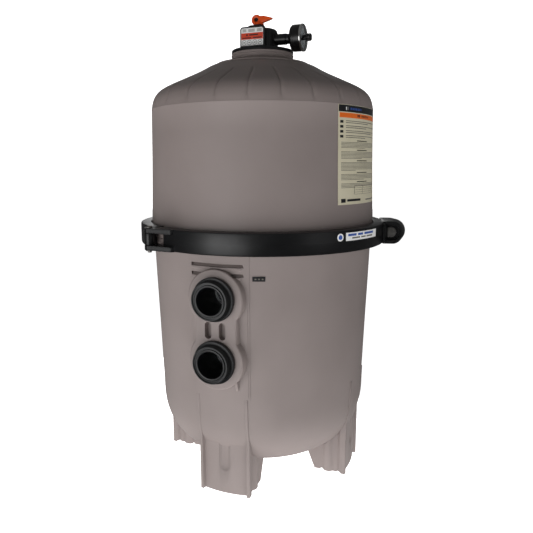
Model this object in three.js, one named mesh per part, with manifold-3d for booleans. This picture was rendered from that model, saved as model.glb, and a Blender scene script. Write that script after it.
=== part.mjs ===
// A vertical-grid pool filter tank: two moulded halves held by a hinged band clamp, two side ports,
// and an air relief valve with a pressure gauge on top. Millimetres, +Z up, ports facing -Y, standing
// on its feet at z = 0. Azimuths are in degrees: 0 is the ports' side (-Y) and 90 is +X. While it is
// built, the tank's axis is the Z axis; the finished assembly is then moved so that the middle of its
// box stands over the origin.
import * as THREE from "three";
import { mergeVertices } from "three/addons/utils/BufferGeometryUtils.js";
import Module from "manifold-3d";

// ---- driving dimensions -------------------------------------------------------------------------
const GAP = 0.3; // air between pieces that touch
const TANK_SIDES = 40; // facets around the tank and the clamp
const LARGE = 24; // facets around fittings
const MEDIUM = 16;
const SMALL = 10;
const TANK_WALL = 9;
const PARTING_Z = 642; // where the two halves meet
const FLANGE_RADIUS = 315;
const FLANGE_THICK = 14;

const LOWER_RIM_RADIUS = 291.3; // outside of the lower half, just under its flange
const BOWL = { radius: 277.3, topZ: 234, depth: 196, power: 2.77 }; // superellipse of the rounded bottom
const UPPER_RIM_RADIUS = 296;
const SHOULDER = { radius: 287.7, z: 952 };
const NECK = { radius: 79.5, bore: 60, topZ: 1096 };

const CLAMP = { outer: 325, web: 6, lip: 298.5, bottomZ: 615.5, topZ: 668.5 };
const CLAMP_MID_Z = (CLAMP.bottomZ + CLAMP.topZ) / 2;
const LEFT_HINGE = -30.3; // azimuths of the clamp's two hinges and of its bolted joint
const REAR_HINGE = 216.7;
const BOLTED_JOINT = 105;
const HINGE_PIN = { at: 342, radius: 5, knuckle: 12 };
const EAR = { from: 320, tip: 383, rise: 31, length: 58, boltAt: 341 };
const EAR_END = { tip: 370, rise: 29 }; // the ear's outline at its open end
const EAR_POCKET = { depth: 20, rise: 20, from: 330, centre: 344 };

const PORTS = { upperZ: 511.3, lowerZ: 360.8, bore: 31.5, threadRadius: 45.7, faceAt: 332, bossAt: 302 };
const FOOT = { halfWidth: 68, outer: 269.5, web: 260, inner: 176, topZ: 190 };

const VALVE = { flange: 80, flangeTopZ: 1104, body: 40, bodyTopZ: 1157 };
const TOWER = { x: -10, radius: 18, topZ: 1169 }; // the round boss that the relief handle turns on
const GAUGE = { z: 1130, caseRadius: 32.5, caseFrom: 81, caseTo: 107.5, frontAt: 113 };
const GRIDS = { count: 8, from: 45, to: 240, thick: 20, bottomZ: 160, topZ: 880 };
const PIPE_AT = 190; // distance of the inner pipes from the tank's axis
const DRAIN = { azimuth: 225, z: 104, from: 205, to: 280, bore: 20, boss: 33 };

// ---- finishes -----------------------------------------------------------------------------------
const finish = (color, roughness, metalness = 0) =>
  new THREE.MeshStandardMaterial({ color, roughness, metalness });
const TANK_PLASTIC = finish(0x8a7f79, 0.6);
const BLACK_PLASTIC = finish(0x1b1b1d, 0.45);
const GREY_PLASTIC = finish(0xb9bcbd, 0.5);
const GRID_CLOTH = finish(0xe9e6dc, 0.9);
const ORANGE_PLASTIC = finish(0xe4561c, 0.4);
const RUBBER = finish(0x121212, 0.8);
const STAINLESS = finish(0xb8b8b6, 0.3, 1);
const LABEL_FILM = finish(0xe6e0c8, 0.5);
const WHITE_CARD = finish(0xf4f4f2, 0.5);
const CLEAR_PLASTIC = finish(0xdfe6ea, 0.1);

// ---- solids from geometry -----------------------------------------------------------------------
const wasm = await Module();
wasm.setup();

// One closed manifold solid, faces outwards, from a three.js geometry.
function solid(geometry) {
  const bare = geometry.index ? geometry.toNonIndexed() : geometry.clone();
  bare.deleteAttribute("normal");
  bare.deleteAttribute("uv");
  const merged = mergeVertices(bare, 1e-4);
  const corners = merged.index.array;
  const faces = [];
  for (let i = 0; i < corners.length; i += 3) {
    const [a, b, c] = corners.slice(i, i + 3);
    if (a !== b && b !== c && c !== a) faces.push(a, b, c);
  }
  const build = (list) =>
    new wasm.Manifold(
      new wasm.Mesh({
        numProp: 3,
        vertProperties: merged.attributes.position.array,
        triVerts: new Uint32Array(list),
      }),
    );
  const made = build(faces);
  return made.volume() > 0 ? made : build(faces.reverse());
}

const join = (...solids) => solids.reduce((whole, next) => whole.add(next));
const cut = (body, ...tools) => tools.reduce((left, tool) => left.subtract(tool), body);
const both = (a, b) => a.intersect(b);

// ---- directions around the tank -----------------------------------------------------------------
const radians = THREE.MathUtils.degToRad;
const outward = (azimuth) =>
  new THREE.Vector3(Math.sin(radians(azimuth)), -Math.cos(radians(azimuth)), 0);
const alongRim = (azimuth) =>
  new THREE.Vector3(Math.cos(radians(azimuth)), Math.sin(radians(azimuth)), 0);
const UP = new THREE.Vector3(0, 0, 1);

// A point at a distance out from the tank's axis and a distance along the rim.
function planPoint(azimuth, out, along) {
  const p = outward(azimuth).multiplyScalar(out).addScaledVector(alongRim(azimuth), along);
  return new THREE.Vector2(p.x, p.y);
}

// ---- shapes -------------------------------------------------------------------------------------
const loop = (pairs) => pairs.map(([a, b]) => new THREE.Vector2(a, b));

// A turned solid about local Y; the outline is a closed loop, or starts and ends on the axis.
function turned(pairs, sides) {
  const outline = loop(pairs);
  const touchesAxis = pairs[0][0] === 0 && pairs[pairs.length - 1][0] === 0;
  if (!touchesAxis) outline.push(outline[0].clone());
  return new THREE.LatheGeometry(outline, sides);
}

// The same about the Z, X and -Y axes; the pairs are [radius, distance along that axis].
const turnedUp = (pairs, sides) => solid(turned(pairs, sides).rotateX(Math.PI / 2));
const turnedRight = (pairs, sides) => solid(turned(pairs, sides).rotateZ(-Math.PI / 2));
const turnedFront = (pairs, sides) => solid(turned(pairs.map(([r, out]) => [r, -out]), sides));

// The same about any axis through a point.
function turnedAlong(pairs, sides, axis, through) {
  const turn = new THREE.Quaternion().setFromUnitVectors(new THREE.Vector3(0, 1, 0), axis);
  const geometry = turned(pairs, sides).applyQuaternion(turn);
  return solid(geometry.translate(through.x, through.y, through.z));
}

const ring = (inner, outer, from, to) => [[inner, from], [outer, from], [outer, to], [inner, to]];
const rod = (radius, from, to) => [[0, from], [radius, from], [radius, to], [0, to]];

// A plan outline pulled up from one height to another.
function raised(points, fromZ, toZ) {
  const depth = toZ - fromZ;
  const geometry = new THREE.ExtrudeGeometry(new THREE.Shape(points), { depth, bevelEnabled: false });
  return solid(geometry.translate(0, 0, fromZ));
}

// A box between two corners.
function block([x0, y0, z0], [x1, y1, z1]) {
  const geometry = new THREE.BoxGeometry(x1 - x0, y1 - y0, z1 - z0);
  return solid(geometry.translate((x0 + x1) / 2, (y0 + y1) / 2, (z0 + z1) / 2));
}

// The wedge of space between two azimuths.
function sector(fromAzimuth, toAzimuth, fromZ = 0, toZ = 1300) {
  const reach = 700;
  const steps = Math.ceil((toAzimuth - fromAzimuth) / 30);
  const points = [new THREE.Vector2(0, 0)];
  for (let i = 0; i <= steps; i++) {
    points.push(planPoint(fromAzimuth + ((toAzimuth - fromAzimuth) * i) / steps, reach, 0));
  }
  return raised(points, fromZ, toZ);
}

// A slab whose outline is [out, z] at an azimuth, centred on it and of the given width along the rim.
function radialSlab(azimuth, pairs, width) {
  const shape = new THREE.Shape(loop(pairs));
  const geometry = new THREE.ExtrudeGeometry(shape, { depth: width, bevelEnabled: false });
  const back = alongRim(azimuth).negate();
  geometry.translate(0, 0, -width / 2);
  return solid(geometry.applyMatrix4(new THREE.Matrix4().makeBasis(outward(azimuth), UP, back)));
}

// A turned tool along the drain's axis; 0 is at the tank's axis.
const onDrain = (pairs, sides) =>
  turnedAlong(pairs, sides, outward(DRAIN.azimuth), new THREE.Vector3(0, 0, DRAIN.z));

// The outline of a hexagonal prism, across flats, when it is turned with six sides.
const hexagon = (flats, from, to) => rod(flats / Math.sqrt(3), from, to);

const assembly = new THREE.Group();

function piece(name, shape, material) {
  const { vertProperties, triVerts } = shape.getMesh();
  const indexed = new THREE.BufferGeometry();
  indexed.setAttribute("position", new THREE.BufferAttribute(vertProperties, 3));
  indexed.setIndex(new THREE.BufferAttribute(triVerts, 1));
  const geometry = indexed.toNonIndexed();
  geometry.computeVertexNormals();
  const mesh = new THREE.Mesh(geometry, material);
  mesh.name = name;
  assembly.add(mesh);
}

// ---- the lower half of the tank: flange, wall, rounded bottom, four feet and the port boss ------
// The rounded bottom's outline, from the wall down to the axis, moved in by a wall thickness.
function bowlOutline(inset, steps) {
  const points = [];
  for (let i = 0; i <= steps; i++) {
    const t = (i / steps) * (Math.PI / 2);
    const out = (BOWL.radius - inset) * Math.cos(t) ** (2 / BOWL.power);
    const down = (BOWL.depth - inset) * Math.sin(t) ** (2 / BOWL.power);
    points.push([i === steps ? 0 : out, BOWL.topZ - down]);
  }
  return points;
}

// One hollow foot: a U in plan, open towards the tank's axis, with ribbed side walls and a grooved
// outer web.
function foot(azimuth) {
  const { halfWidth, outer, web, inner, topZ } = FOOT;
  const onRadius = (radius, along) => Math.sqrt(radius ** 2 - along ** 2);
  const edge = 8; // width of the upright flange at each outer corner
  const side = [
    [onRadius(outer, halfWidth), halfWidth], [246, halfWidth], [240, halfWidth - 6],
    [226, halfWidth - 6], [220, halfWidth], [206, halfWidth], [201, halfWidth - 5],
    [150, halfWidth - 5], [150, halfWidth - 15], [238, halfWidth - 15],
    [onRadius(web - TANK_WALL, 44), 44],
  ];
  const webInner = [25, 0, -25].map((along) => [onRadius(web - TANK_WALL, along), along]);
  const webOuter = [-57, -38, -19, 0, 19, 38, 57].map((along) => [onRadius(web, along), along]);
  const flangeEdge = halfWidth - edge;
  const outline = [
    [onRadius(outer, flangeEdge), flangeEdge],
    ...side,
    ...webInner,
    ...side.map(([out, along]) => [out, -along]).reverse(),
    [onRadius(outer, flangeEdge), -flangeEdge],
    ...webOuter,
  ];
  const walls = raised(outline.map(([out, along]) => planPoint(azimuth, out, along)), 0, topZ);
  const profile = radialSlab(
    azimuth,
    [[inner, 0], [192, 0], [192, 4], [200, 4], [200, 0], [238, 0], [240, 4], [248, 4], [250, 0],
      [275, 0], [275, topZ], [148, topZ], [148, 70]],
    2 * halfWidth + 20,
  );
  const groove = { radius: 30, at: outward(azimuth).multiplyScalar(285), fromZ: 75, toZ: 150 };
  const grooveEnd = new THREE.SphereGeometry(groove.radius, MEDIUM, 8).rotateX(Math.PI / 2);
  const grooveTool = join(
    turnedAlong(rod(groove.radius, groove.fromZ, groove.toZ), MEDIUM, UP, groove.at),
    solid(grooveEnd.translate(groove.at.x, groove.at.y, groove.fromZ)),
  );
  return cut(both(walls, profile), grooveTool);
}

function lowerTank() {
  const top = PARTING_Z - GAP;
  const wallTop = [LOWER_RIM_RADIUS, PARTING_Z - FLANGE_THICK];
  const outside = turnedUp(
    [[0, top], [FLANGE_RADIUS, top], [FLANGE_RADIUS, wallTop[1]], wallTop, [287.5, 511],
      [283.5, 409], [280, 306], ...bowlOutline(0, 6)],
    TANK_SIDES,
  );
  const inside = turnedUp(
    [[0, top + 5], [LOWER_RIM_RADIUS - TANK_WALL + 4, top + 5],
      [LOWER_RIM_RADIUS - TANK_WALL, 600], ...bowlOutline(TANK_WALL, 5)],
    TANK_SIDES,
  );
  const sealGroove = turnedUp(ring(296.5, 305.5, 633.5, top + 5), TANK_SIDES);
  const { upperZ, lowerZ, bossAt } = PORTS;
  const disc = (radius, from, to, z) =>
    turnedFront(rod(radius, from, to), LARGE).translate([0, 0, z]);
  const boss = join(
    disc(70, 250, bossAt, upperZ), disc(70, 250, bossAt, lowerZ),
    block([-54, -bossAt, lowerZ], [54, -250, upperZ]),
  );
  const rib = radialSlab(9.2, [[270, 286], [284, 286], [298, 310], [298, 330], [270, 330]], 7);
  const seats = join(disc(56, 262, 280, upperZ), disc(56, 262, 280, lowerZ));
  const slot = (x) =>
    join(
      block([x - 8.5, -310, 423], [x + 8.5, -286, 447]),
      disc(8.5, 286, 310, 423).translate([x, 0, 0]), disc(8.5, 286, 310, 447).translate([x, 0, 0]),
    );
  const louvre = (z) =>
    both(
      turnedUp([[284.5, z], [300, z], [300, z - 16], [290, z - 14]], TANK_SIDES),
      sector(-13.5, 13.5),
    );
  const drainBoss = onDrain(rod(DRAIN.boss, DRAIN.from, DRAIN.to - 12), MEDIUM);
  const drainHole = onDrain(rod(DRAIN.bore + GAP, 150, 300), MEDIUM);
  const feet = [0, 90, 180, 270].map(foot);
  const shell = cut(join(outside, boss, rib, drainBoss, ...feet), inside, louvre(592), louvre(570));
  return cut(
    join(shell, seats), sealGroove, slot(-18), slot(18), drainHole,
    disc(38, 200, 320, upperZ), disc(38, 200, 320, lowerZ),
  );
}

// The ring between the halves, six-sided in section.
function sealRing() {
  const section = [...Array(6).keys()].map((i) => {
    const turn = (i / 6) * 2 * Math.PI;
    return [301 + 4 * Math.cos(turn), 638 + 4.4 * Math.sin(turn)];
  });
  return turnedUp(section, TANK_SIDES);
}

// ---- the upper half: flange, wall, shoulder, dome and neck --------------------------------------
function upperTank() {
  const outside = [
    [UPPER_RIM_RADIUS, PARTING_Z + FLANGE_THICK], [290.7, 817], [SHOULDER.radius, SHOULDER.z], [285, 970],
    [278, 986], [262.5, 1001], [219.5, 1021], [172.5, 1042], [135.5, 1062], [115.5, 1069], [95, 1072.5],
    [84, 1077], [NECK.radius, 1083], [NECK.radius, NECK.topZ],
  ];
  const inside = [
    [NECK.bore, NECK.topZ], [NECK.bore, 1063], [110, 1059], [168, 1033], [215, 1011], [255, 992],
    [270, 976], [278.7, SHOULDER.z], [281.7, 817], [286.5, PARTING_Z],
  ];
  const flange = [[FLANGE_RADIUS, PARTING_Z], [FLANGE_RADIUS, PARTING_Z + FLANGE_THICK]];
  return turnedUp([...flange, ...outside, ...inside], TANK_SIDES);
}

// ---- the band clamp -----------------------------------------------------------------------------
function clampRing() {
  const { outer, web, lip, bottomZ, topZ } = CLAMP;
  const channelBottom = PARTING_Z - FLANGE_THICK - 0.4;
  const channelTop = PARTING_Z + FLANGE_THICK + 0.4;
  return turnedUp(
    [[lip, bottomZ], [outer - 2, bottomZ], [outer, bottomZ + 3], [outer, topZ - 3],
      [outer - 2, topZ], [lip, topZ], [lip, channelTop], [outer - web, channelTop],
      [outer - web, channelBottom], [lip, channelBottom]],
    TANK_SIDES,
  );
}

function pinHole(azimuth) {
  const outline = circle(planPoint(azimuth, HINGE_PIN.at, 0), HINGE_PIN.radius + GAP, SMALL);
  return raised(outline, CLAMP.bottomZ - 5, CLAMP.topZ + 5);
}

function circle(centre, radius, sides) {
  const points = [];
  for (let i = 0; i < sides; i++) {
    const turn = ((i + 0.5) / sides) * 2 * Math.PI;
    const offset = new THREE.Vector2(Math.cos(turn), Math.sin(turn)).multiplyScalar(radius);
    points.push(offset.add(centre));
  }
  return points;
}

// The two outer knuckles of a hinge, on the segment that lies towards the given side of the pin (+1 or -1).
function forkKnuckles(azimuth, side) {
  const plate = [[354, 0], [325.5, 70], [312, 70], [300, 12], [331, 0]];
  const outline = plate.map(([out, along]) => planPoint(azimuth, out, side * along));
  const layer = (fromZ, toZ) =>
    join(
      raised(circle(planPoint(azimuth, HINGE_PIN.at, 0), HINGE_PIN.knuckle, SMALL), fromZ, toZ),
      raised(outline, fromZ, toZ),
    );
  const above = PARTING_Z + FLANGE_THICK + 0.4;
  const below = PARTING_Z - FLANGE_THICK - 0.4;
  return join(layer(CLAMP.bottomZ, below), layer(above, CLAMP.topZ));
}

// The middle knuckle of a hinge, on the other segment.
function tongueKnuckle(azimuth, side) {
  const plate = [[354, 0], [327, 62], [321, 62], [321, 9], [331, 0]];
  const outline = plate.map(([out, along]) => planPoint(azimuth, out, side * along));
  const fromZ = PARTING_Z - FLANGE_THICK;
  const toZ = PARTING_Z + FLANGE_THICK;
  return join(
    raised(circle(planPoint(azimuth, HINGE_PIN.at, 0), HINGE_PIN.knuckle, SMALL), fromZ, toZ),
    raised(outline, fromZ, toZ),
  );
}

// The opening beside the fork's pin, where the tongue's knuckle turns.
function forkWindow(azimuth, side) {
  const end = azimuth + side * 6;
  const halfHeight = FLANGE_THICK + 0.4;
  return sector(
    Math.min(azimuth, end), Math.max(azimuth, end), PARTING_Z - halfHeight, PARTING_Z + halfHeight);
}

// A turned tool along the clamp bolt's axis, where 0 is the parting plane and + is the rear ear's side.
const onBoltAxis = (pairs, sides) =>
  turnedAlong(pairs, sides, alongRim(BOLTED_JOINT),
    outward(BOLTED_JOINT).multiplyScalar(EAR.boltAt).setZ(CLAMP_MID_Z));

// One ear of the bolted joint, a hood that narrows towards its open end; side is -1 for the front ear
// and +1 for the rear one.
function ear(side) {
  const slab = (fromOut, toOut, halfHeight, from, to) => {
    const outline = [[fromOut, from], [toOut, from], [toOut, to], [fromOut, to]];
    const points = outline.map(([out, along]) => planPoint(BOLTED_JOINT, out, along));
    return raised(points, CLAMP_MID_Z - halfHeight, CLAMP_MID_Z + halfHeight);
  };
  const roundEnd = (centreOut, radius, from, to) =>
    turnedAlong(
      rod(radius, Math.min(from, to), Math.max(from, to)), MEDIUM, alongRim(BOLTED_JOINT),
      outward(BOLTED_JOINT).multiplyScalar(centreOut).setZ(CLAMP_MID_Z));
  const slice = ({ tip, rise }, from, to) => [
    slab(EAR.from, tip - rise, rise, from, to), roundEnd(tip - rise, rise, from, to),
  ];
  const hood = wasm.Manifold.hull([
    ...slice(EAR, side * 0.5, side * 1.5), ...slice(EAR_END, side * (EAR.length - 1), side * EAR.length),
  ]);
  const { depth, rise, from, centre } = EAR_POCKET;
  const floor = side * (EAR.length - depth);
  const open = side * (EAR.length + 5);
  return cut(hood, slab(from, centre, rise, floor, open), roundEnd(centre, rise, floor, open));
}

// One segment of the clamp, between two azimuths, with what its ends carry added and cut.
const segment = (from, to) => both(clampRing(), sector(from, to));
const HINGE_END = 1.6; // degrees between a pin and the nearest lip end
const JOINT_END = 0.1; // degrees between the bolted joint's parting plane and each segment
const BOLT_HOLE = 7;

function clampFront() {
  const whole = segment(LEFT_HINGE + HINGE_END, BOLTED_JOINT - JOINT_END);
  const band = cut(whole, forkWindow(LEFT_HINGE, 1));
  return cut(
    join(band, forkKnuckles(LEFT_HINGE, 1), ear(-1)),
    pinHole(LEFT_HINGE), onBoltAxis(rod(BOLT_HOLE, -60, 5), MEDIUM),
  );
}

function clampLeftRear() {
  const band = segment(REAR_HINGE + HINGE_END, LEFT_HINGE + 360 - HINGE_END);
  return cut(
    join(band, tongueKnuckle(LEFT_HINGE, -1), tongueKnuckle(REAR_HINGE, 1)),
    pinHole(LEFT_HINGE), pinHole(REAR_HINGE),
  );
}

const NUT = { flats: 24, from: 11.3, length: 13 };

function clampRightRear() {
  const whole = segment(BOLTED_JOINT + JOINT_END, REAR_HINGE - HINGE_END);
  const band = cut(whole, forkWindow(REAR_HINGE, -1));
  const nutSeat = onBoltAxis(hexagon(NUT.flats + 2 * GAP, 5, NUT.from + NUT.length + GAP), 6);
  const nutEntry = onBoltAxis(rod(14.5, -5, NUT.from - GAP), MEDIUM);
  return cut(
    join(band, forkKnuckles(REAR_HINGE, -1), ear(1)),
    pinHole(REAR_HINGE), nutEntry, nutSeat, onBoltAxis(rod(BOLT_HOLE, 5, 60), MEDIUM),
  );
}

// A headed hinge pin, and the retaining clip under it.
function hingePin(azimuth) {
  const top = CLAMP.topZ + GAP;
  const bottom = CLAMP.bottomZ - 6;
  const head = [
    [0, bottom], [4, bottom], [HINGE_PIN.radius, bottom + 1], [HINGE_PIN.radius, top], [8.5, top],
    [8.5, top + 2.2], [6, top + 4.4], [0, top + 4.4],
  ];
  const at = planPoint(azimuth, HINGE_PIN.at, 0);
  return turnedUp(head, SMALL).translate([at.x, at.y, 0]);
}

function hingeClip(azimuth) {
  const at = planPoint(azimuth, HINGE_PIN.at, 0);
  const top = CLAMP.bottomZ - GAP;
  const clip = turnedUp(ring(HINGE_PIN.radius + GAP, 9, top - 1.8, top), MEDIUM);
  return clip.translate([at.x, at.y, 0]);
}

// The bolt set, from the front ear's pocket floor to the rear ear.
const POCKET_FLOOR = -(EAR.length - EAR_POCKET.depth);
const BOLT_WASHER = { radius: 14, thick: 2.5 };

function boltWasher() {
  const under = POCKET_FLOOR - GAP;
  return onBoltAxis(ring(6.5, BOLT_WASHER.radius, under - BOLT_WASHER.thick, under), MEDIUM);
}

function clampBolt() {
  const face = POCKET_FLOOR - BOLT_WASHER.thick - 2 * GAP;
  return join(onBoltAxis(hexagon(24, face - 9, face), 6), onBoltAxis(rod(6, face - 1, 10.5), MEDIUM));
}

const clampNut = () =>
  cut(
    onBoltAxis(hexagon(NUT.flats, NUT.from, NUT.from + NUT.length), 6),
    onBoltAxis(rod(6.2, 0, 40), MEDIUM),
  );

// ---- side ports ---------------------------------------------------------------------------------
function portFitting(z) {
  const { bore, threadRadius, faceAt, bossAt } = PORTS;
  const collar = bossAt + 3.3;
  const outline = [
    [bore, 235], [37, 235], [37, collar], [52, collar], [52, collar + 8], [threadRadius, collar + 10],
    [threadRadius, faceAt - 1.5], [threadRadius - 1.5, faceAt], [42.5, faceAt], [42.5, faceAt - 3],
    [38, faceAt - 3], [38, faceAt], [bore + 2, faceAt], [bore, faceAt - 2],
  ];
  return turnedFront(outline, LARGE).translate([0, 0, z]);
}

const portGasket = (z) =>
  turnedFront(ring(38, 51, PORTS.bossAt + GAP, PORTS.bossAt + 3), LARGE).translate([0, 0, z]);

function portLockNut(z) {
  const prism = turnedFront(rod(56, 248, 262 - GAP), 6);
  return cut(prism, turnedFront(rod(37 + GAP, 240, 270), LARGE)).translate([0, 0, z]);
}

// ---- inner pipes, collector and filter grids ----------------------------------------------------
const PIPE = { outer: 32, inner: 27 };
const pipeAcross = (radius, from, to, z) =>
  turnedFront(rod(radius, from, to), MEDIUM).translate([0, 0, z]);
const pipeUp = (radius, from, to) =>
  turnedUp(rod(radius, from, to), MEDIUM).translate([0, -PIPE_AT, 0]);

function inletDiffuser() {
  const z = PORTS.lowerZ;
  const upright = (pairs) => turnedUp(pairs, MEDIUM).translate([0, -PIPE_AT, 0]);
  const outside = [[0, 262], [46, 262], [46, 266], [33, 288], [33, z + 36], [0, z + 36]];
  const inside = [[0, 250], [42, 250], [42, 264.5], [28, 287], [28, z + 31], [0, z + 31]];
  return cut(
    join(upright(outside), pipeAcross(PIPE.outer, PIPE_AT, 234.7, z)),
    upright(inside), pipeAcross(PIPE.inner, PIPE_AT, 240, z),
  );
}

function outletElbow() {
  const z = PORTS.upperZ;
  const upright = pipeUp(PIPE.outer + 1, z - 36, z + 60);
  return cut(
    join(pipeAcross(PIPE.outer, PIPE_AT, 234.7, z), upright),
    pipeAcross(PIPE.inner, PIPE_AT, 240, z), pipeUp(PIPE.inner + 1, z - 31, z + 70),
  );
}

const MANIFOLD = { radius: 150, bottomZ: 900, topZ: 935 };
const standpipe = () =>
  cut(pipeUp(PIPE.outer - 3, PORTS.upperZ + 60 + GAP, MANIFOLD.bottomZ - GAP),
    pipeUp(PIPE.inner - 1, PORTS.upperZ + 50, MANIFOLD.bottomZ + 5));

const GRID_TURN = 360 / GRIDS.count;
const gridAzimuth = (i) => GRID_TURN * (i + 0.5);
const NOZZLE = { at: 110, radius: 11 };
const ROD_HOLE = 8.3;
const TIE_ROD = 8;

// The collector that the grids' nozzles plug into: a hollow drum with an arm to the standpipe.
function collector() {
  const { radius, bottomZ, topZ } = MANIFOLD;
  const wall = 4;
  const drum = (inset) => turnedUp(rod(radius - inset, bottomZ + inset, topZ - inset), LARGE);
  const arm = (inset) => {
    const half = PIPE.outer + 4 - inset;
    return join(
      block([-half, -PIPE_AT, bottomZ + inset], [half, -100, topZ - inset]),
      turnedUp(rod(half, bottomZ + inset, topZ - inset), MEDIUM).translate([0, -PIPE_AT, 0]),
    );
  };
  const nozzles = [...Array(GRIDS.count).keys()].map((i) => {
    const at = planPoint(gridAzimuth(i), NOZZLE.at, 0);
    const tool = turnedUp(rod(NOZZLE.radius + GAP, bottomZ - 5, bottomZ + 10), SMALL);
    return tool.translate([at.x, at.y, 0]);
  });
  const post = turnedUp(rod(20, bottomZ, topZ), MEDIUM);
  const hollow = cut(join(drum(0), arm(0)), join(drum(wall), arm(wall)));
  const rodHole = turnedUp(rod(ROD_HOLE, bottomZ - 5, topZ + 5), SMALL);
  const pipeHole = pipeUp(PIPE.inner - 1, bottomZ - 5, bottomZ + 10);
  return cut(join(hollow, post), pipeHole, ...nozzles, rodHole);
}

// One filter grid: a thin, slightly curved vane with a nozzle on its top edge.
function filterGrid(i) {
  const { from, to, thick, bottomZ, topZ } = GRIDS;
  const azimuth = gridAzimuth(i);
  const bow = 12;
  const steps = 6;
  const sideLine = (offset) =>
    [...Array(steps + 1).keys()].map((k) => {
      const t = k / steps;
      return [from + (to - from) * t, bow * Math.sin(Math.PI * t) - bow / 2 + offset];
    });
  const outline = [...sideLine(-thick / 2), ...sideLine(thick / 2).reverse()];
  const at = planPoint(azimuth, NOZZLE.at, 0);
  const nozzle = turnedUp(rod(NOZZLE.radius, topZ - 5, MANIFOLD.bottomZ + 6), SMALL);
  return join(
    raised(outline.map(([out, along]) => planPoint(azimuth, out, along)), bottomZ, topZ),
    nozzle.translate([at.x, at.y, 0]),
  );
}

function gridBase() {
  const plate = turnedUp(rod(205, 140, 152), LARGE);
  const legs = [45, 135, 225, 315].map((azimuth) =>
    radialSlab(azimuth, [[20, 50], [40, 50], [150, 68], [150, 145], [20, 145]], 14));
  const flowHoles = [...Array(8).keys()].map((i) => {
    const at = planPoint(GRID_TURN * i, 130, 0);
    return turnedUp(rod(28, 100, 170), SMALL).translate([at.x, at.y, 0]);
  });
  const hub = turnedUp(rod(24, 50, 145), MEDIUM);
  const rodHole = turnedUp(rod(ROD_HOLE, 110, 170), SMALL);
  return cut(join(plate, hub, ...legs), ...flowHoles, rodHole);
}

const rodWasher = () =>
  turnedUp(ring(TIE_ROD + GAP, 24, MANIFOLD.topZ + GAP, MANIFOLD.topZ + 3), MEDIUM);

const rodNut = () =>
  cut(
    turnedUp(hexagon(28, MANIFOLD.topZ + 3 + GAP, MANIFOLD.topZ + 17), 6),
    turnedUp(rod(TIE_ROD + GAP, 900, 1000), SMALL),
  );

// ---- air relief valve, its handle and the pressure gauge ----------------------------------------
function valveBody() {
  const { flange, flangeTopZ, body, bodyTopZ } = VALVE;
  const base = NECK.topZ + GAP;
  const turnedBody = turnedUp(
    [[0, 1070], [55, 1070], [57, 1073], [57, 1080], [54, 1080], [54, 1087], [NECK.bore - GAP, 1087],
      [NECK.bore - GAP, base], [flange - 1, base], [flange, base + 1.5],
      [flange, flangeTopZ - 1.5], [flange - 1.5, flangeTopZ], [body, flangeTopZ],
      [body, bodyTopZ - 7], [body - 2, bodyTopZ - 2], [body - 7, bodyTopZ], [0, bodyTopZ]],
    LARGE,
  );
  const towerShape = turnedUp(rod(TOWER.radius, bodyTopZ - 20, TOWER.topZ), MEDIUM);
  // A flat plate in front, with its two upper corners rounded.
  const plate = { left: -43.5, right: 23.2, front: -45, back: -30, topZ: 1157.5, round: 8 };
  const roundZ = plate.topZ - plate.round;
  const lowZ = flangeTopZ - 1;
  const roundCorner = (x) =>
    turnedAlong(
      rod(plate.round, -plate.back, -plate.front), SMALL, outward(0), new THREE.Vector3(x, 0, roundZ));
  const corners = [plate.left + plate.round, plate.right - plate.round];
  const backing = both(
    block([plate.left, plate.front, lowZ], [plate.right, plate.back, plate.topZ]),
    join(
      block([plate.left, plate.front, lowZ], [plate.right, plate.back, roundZ]),
      block([corners[0], plate.front, roundZ - 10], [corners[1], plate.back, plate.topZ]),
      ...corners.map(roundCorner),
    ),
  );
  const stub = turnedRight(rod(12.5, 30, 75), MEDIUM).translate([0, 0, GAUGE.z]);
  const stemBore = turnedUp(rod(5.3, 1100, TOWER.topZ + 5), SMALL).translate([TOWER.x, 0, 0]);
  const airWay = turnedUp(rod(6, 1060, 1112), SMALL);
  const gaugeWay = turnedRight(rod(6.8, 0, 80), SMALL).translate([0, 0, GAUGE.z]);
  return cut(
    join(turnedBody, towerShape.translate([TOWER.x, 0, 0]), backing, stub),
    stemBore, airWay, gaugeWay,
  );
}

// The relief handle: a loop that tapers to a tip, standing on a round hub, with its stem below.
function reliefHandle() {
  const thick = 11;
  const shape = new THREE.Shape();
  shape.moveTo(28, 1183);
  shape.lineTo(5, 1190.5);
  shape.absarc(-14, 1183, 12, 0.9, -0.9 + 2 * Math.PI, false);
  shape.lineTo(5, 1175.5);
  shape.closePath();
  const eye = new THREE.Path();
  eye.absellipse(-15, 1183.5, 6, 5, 0, 2 * Math.PI, true);
  shape.holes.push(eye);
  const blade = new THREE.ExtrudeGeometry(shape, { depth: thick, bevelEnabled: false, curveSegments: 10 });
  const upright = solid(blade.rotateX(Math.PI / 2).translate(0, thick / 2, 0));
  const hub = turnedUp(
    [[0, 1120], [5, 1120], [5, TOWER.topZ + GAP], [13, TOWER.topZ + GAP], [13, TOWER.topZ + 4],
      [9, TOWER.topZ + 8], [0, TOWER.topZ + 8]],
    MEDIUM,
  );
  return join(upright, hub.translate([TOWER.x, 0, 0]));
}

const onGauge = (pairs, sides) => turnedRight(pairs, sides).translate([0, 0, GAUGE.z]);

function gaugeCase() {
  const { caseRadius, caseFrom, caseTo } = GAUGE;
  return onGauge(
    [[0, 50], [6, 50], [6, 75 + GAP], [9, 75 + GAP], [9, caseFrom], [caseRadius - 4, caseFrom],
      [caseRadius, caseFrom + 4], [caseRadius, caseTo], [caseRadius - 3, caseTo],
      [caseRadius - 3, caseTo - 3], [2.4, caseTo - 3], [2.4, caseTo - 12], [0, caseTo - 12]],
    LARGE,
  );
}

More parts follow.
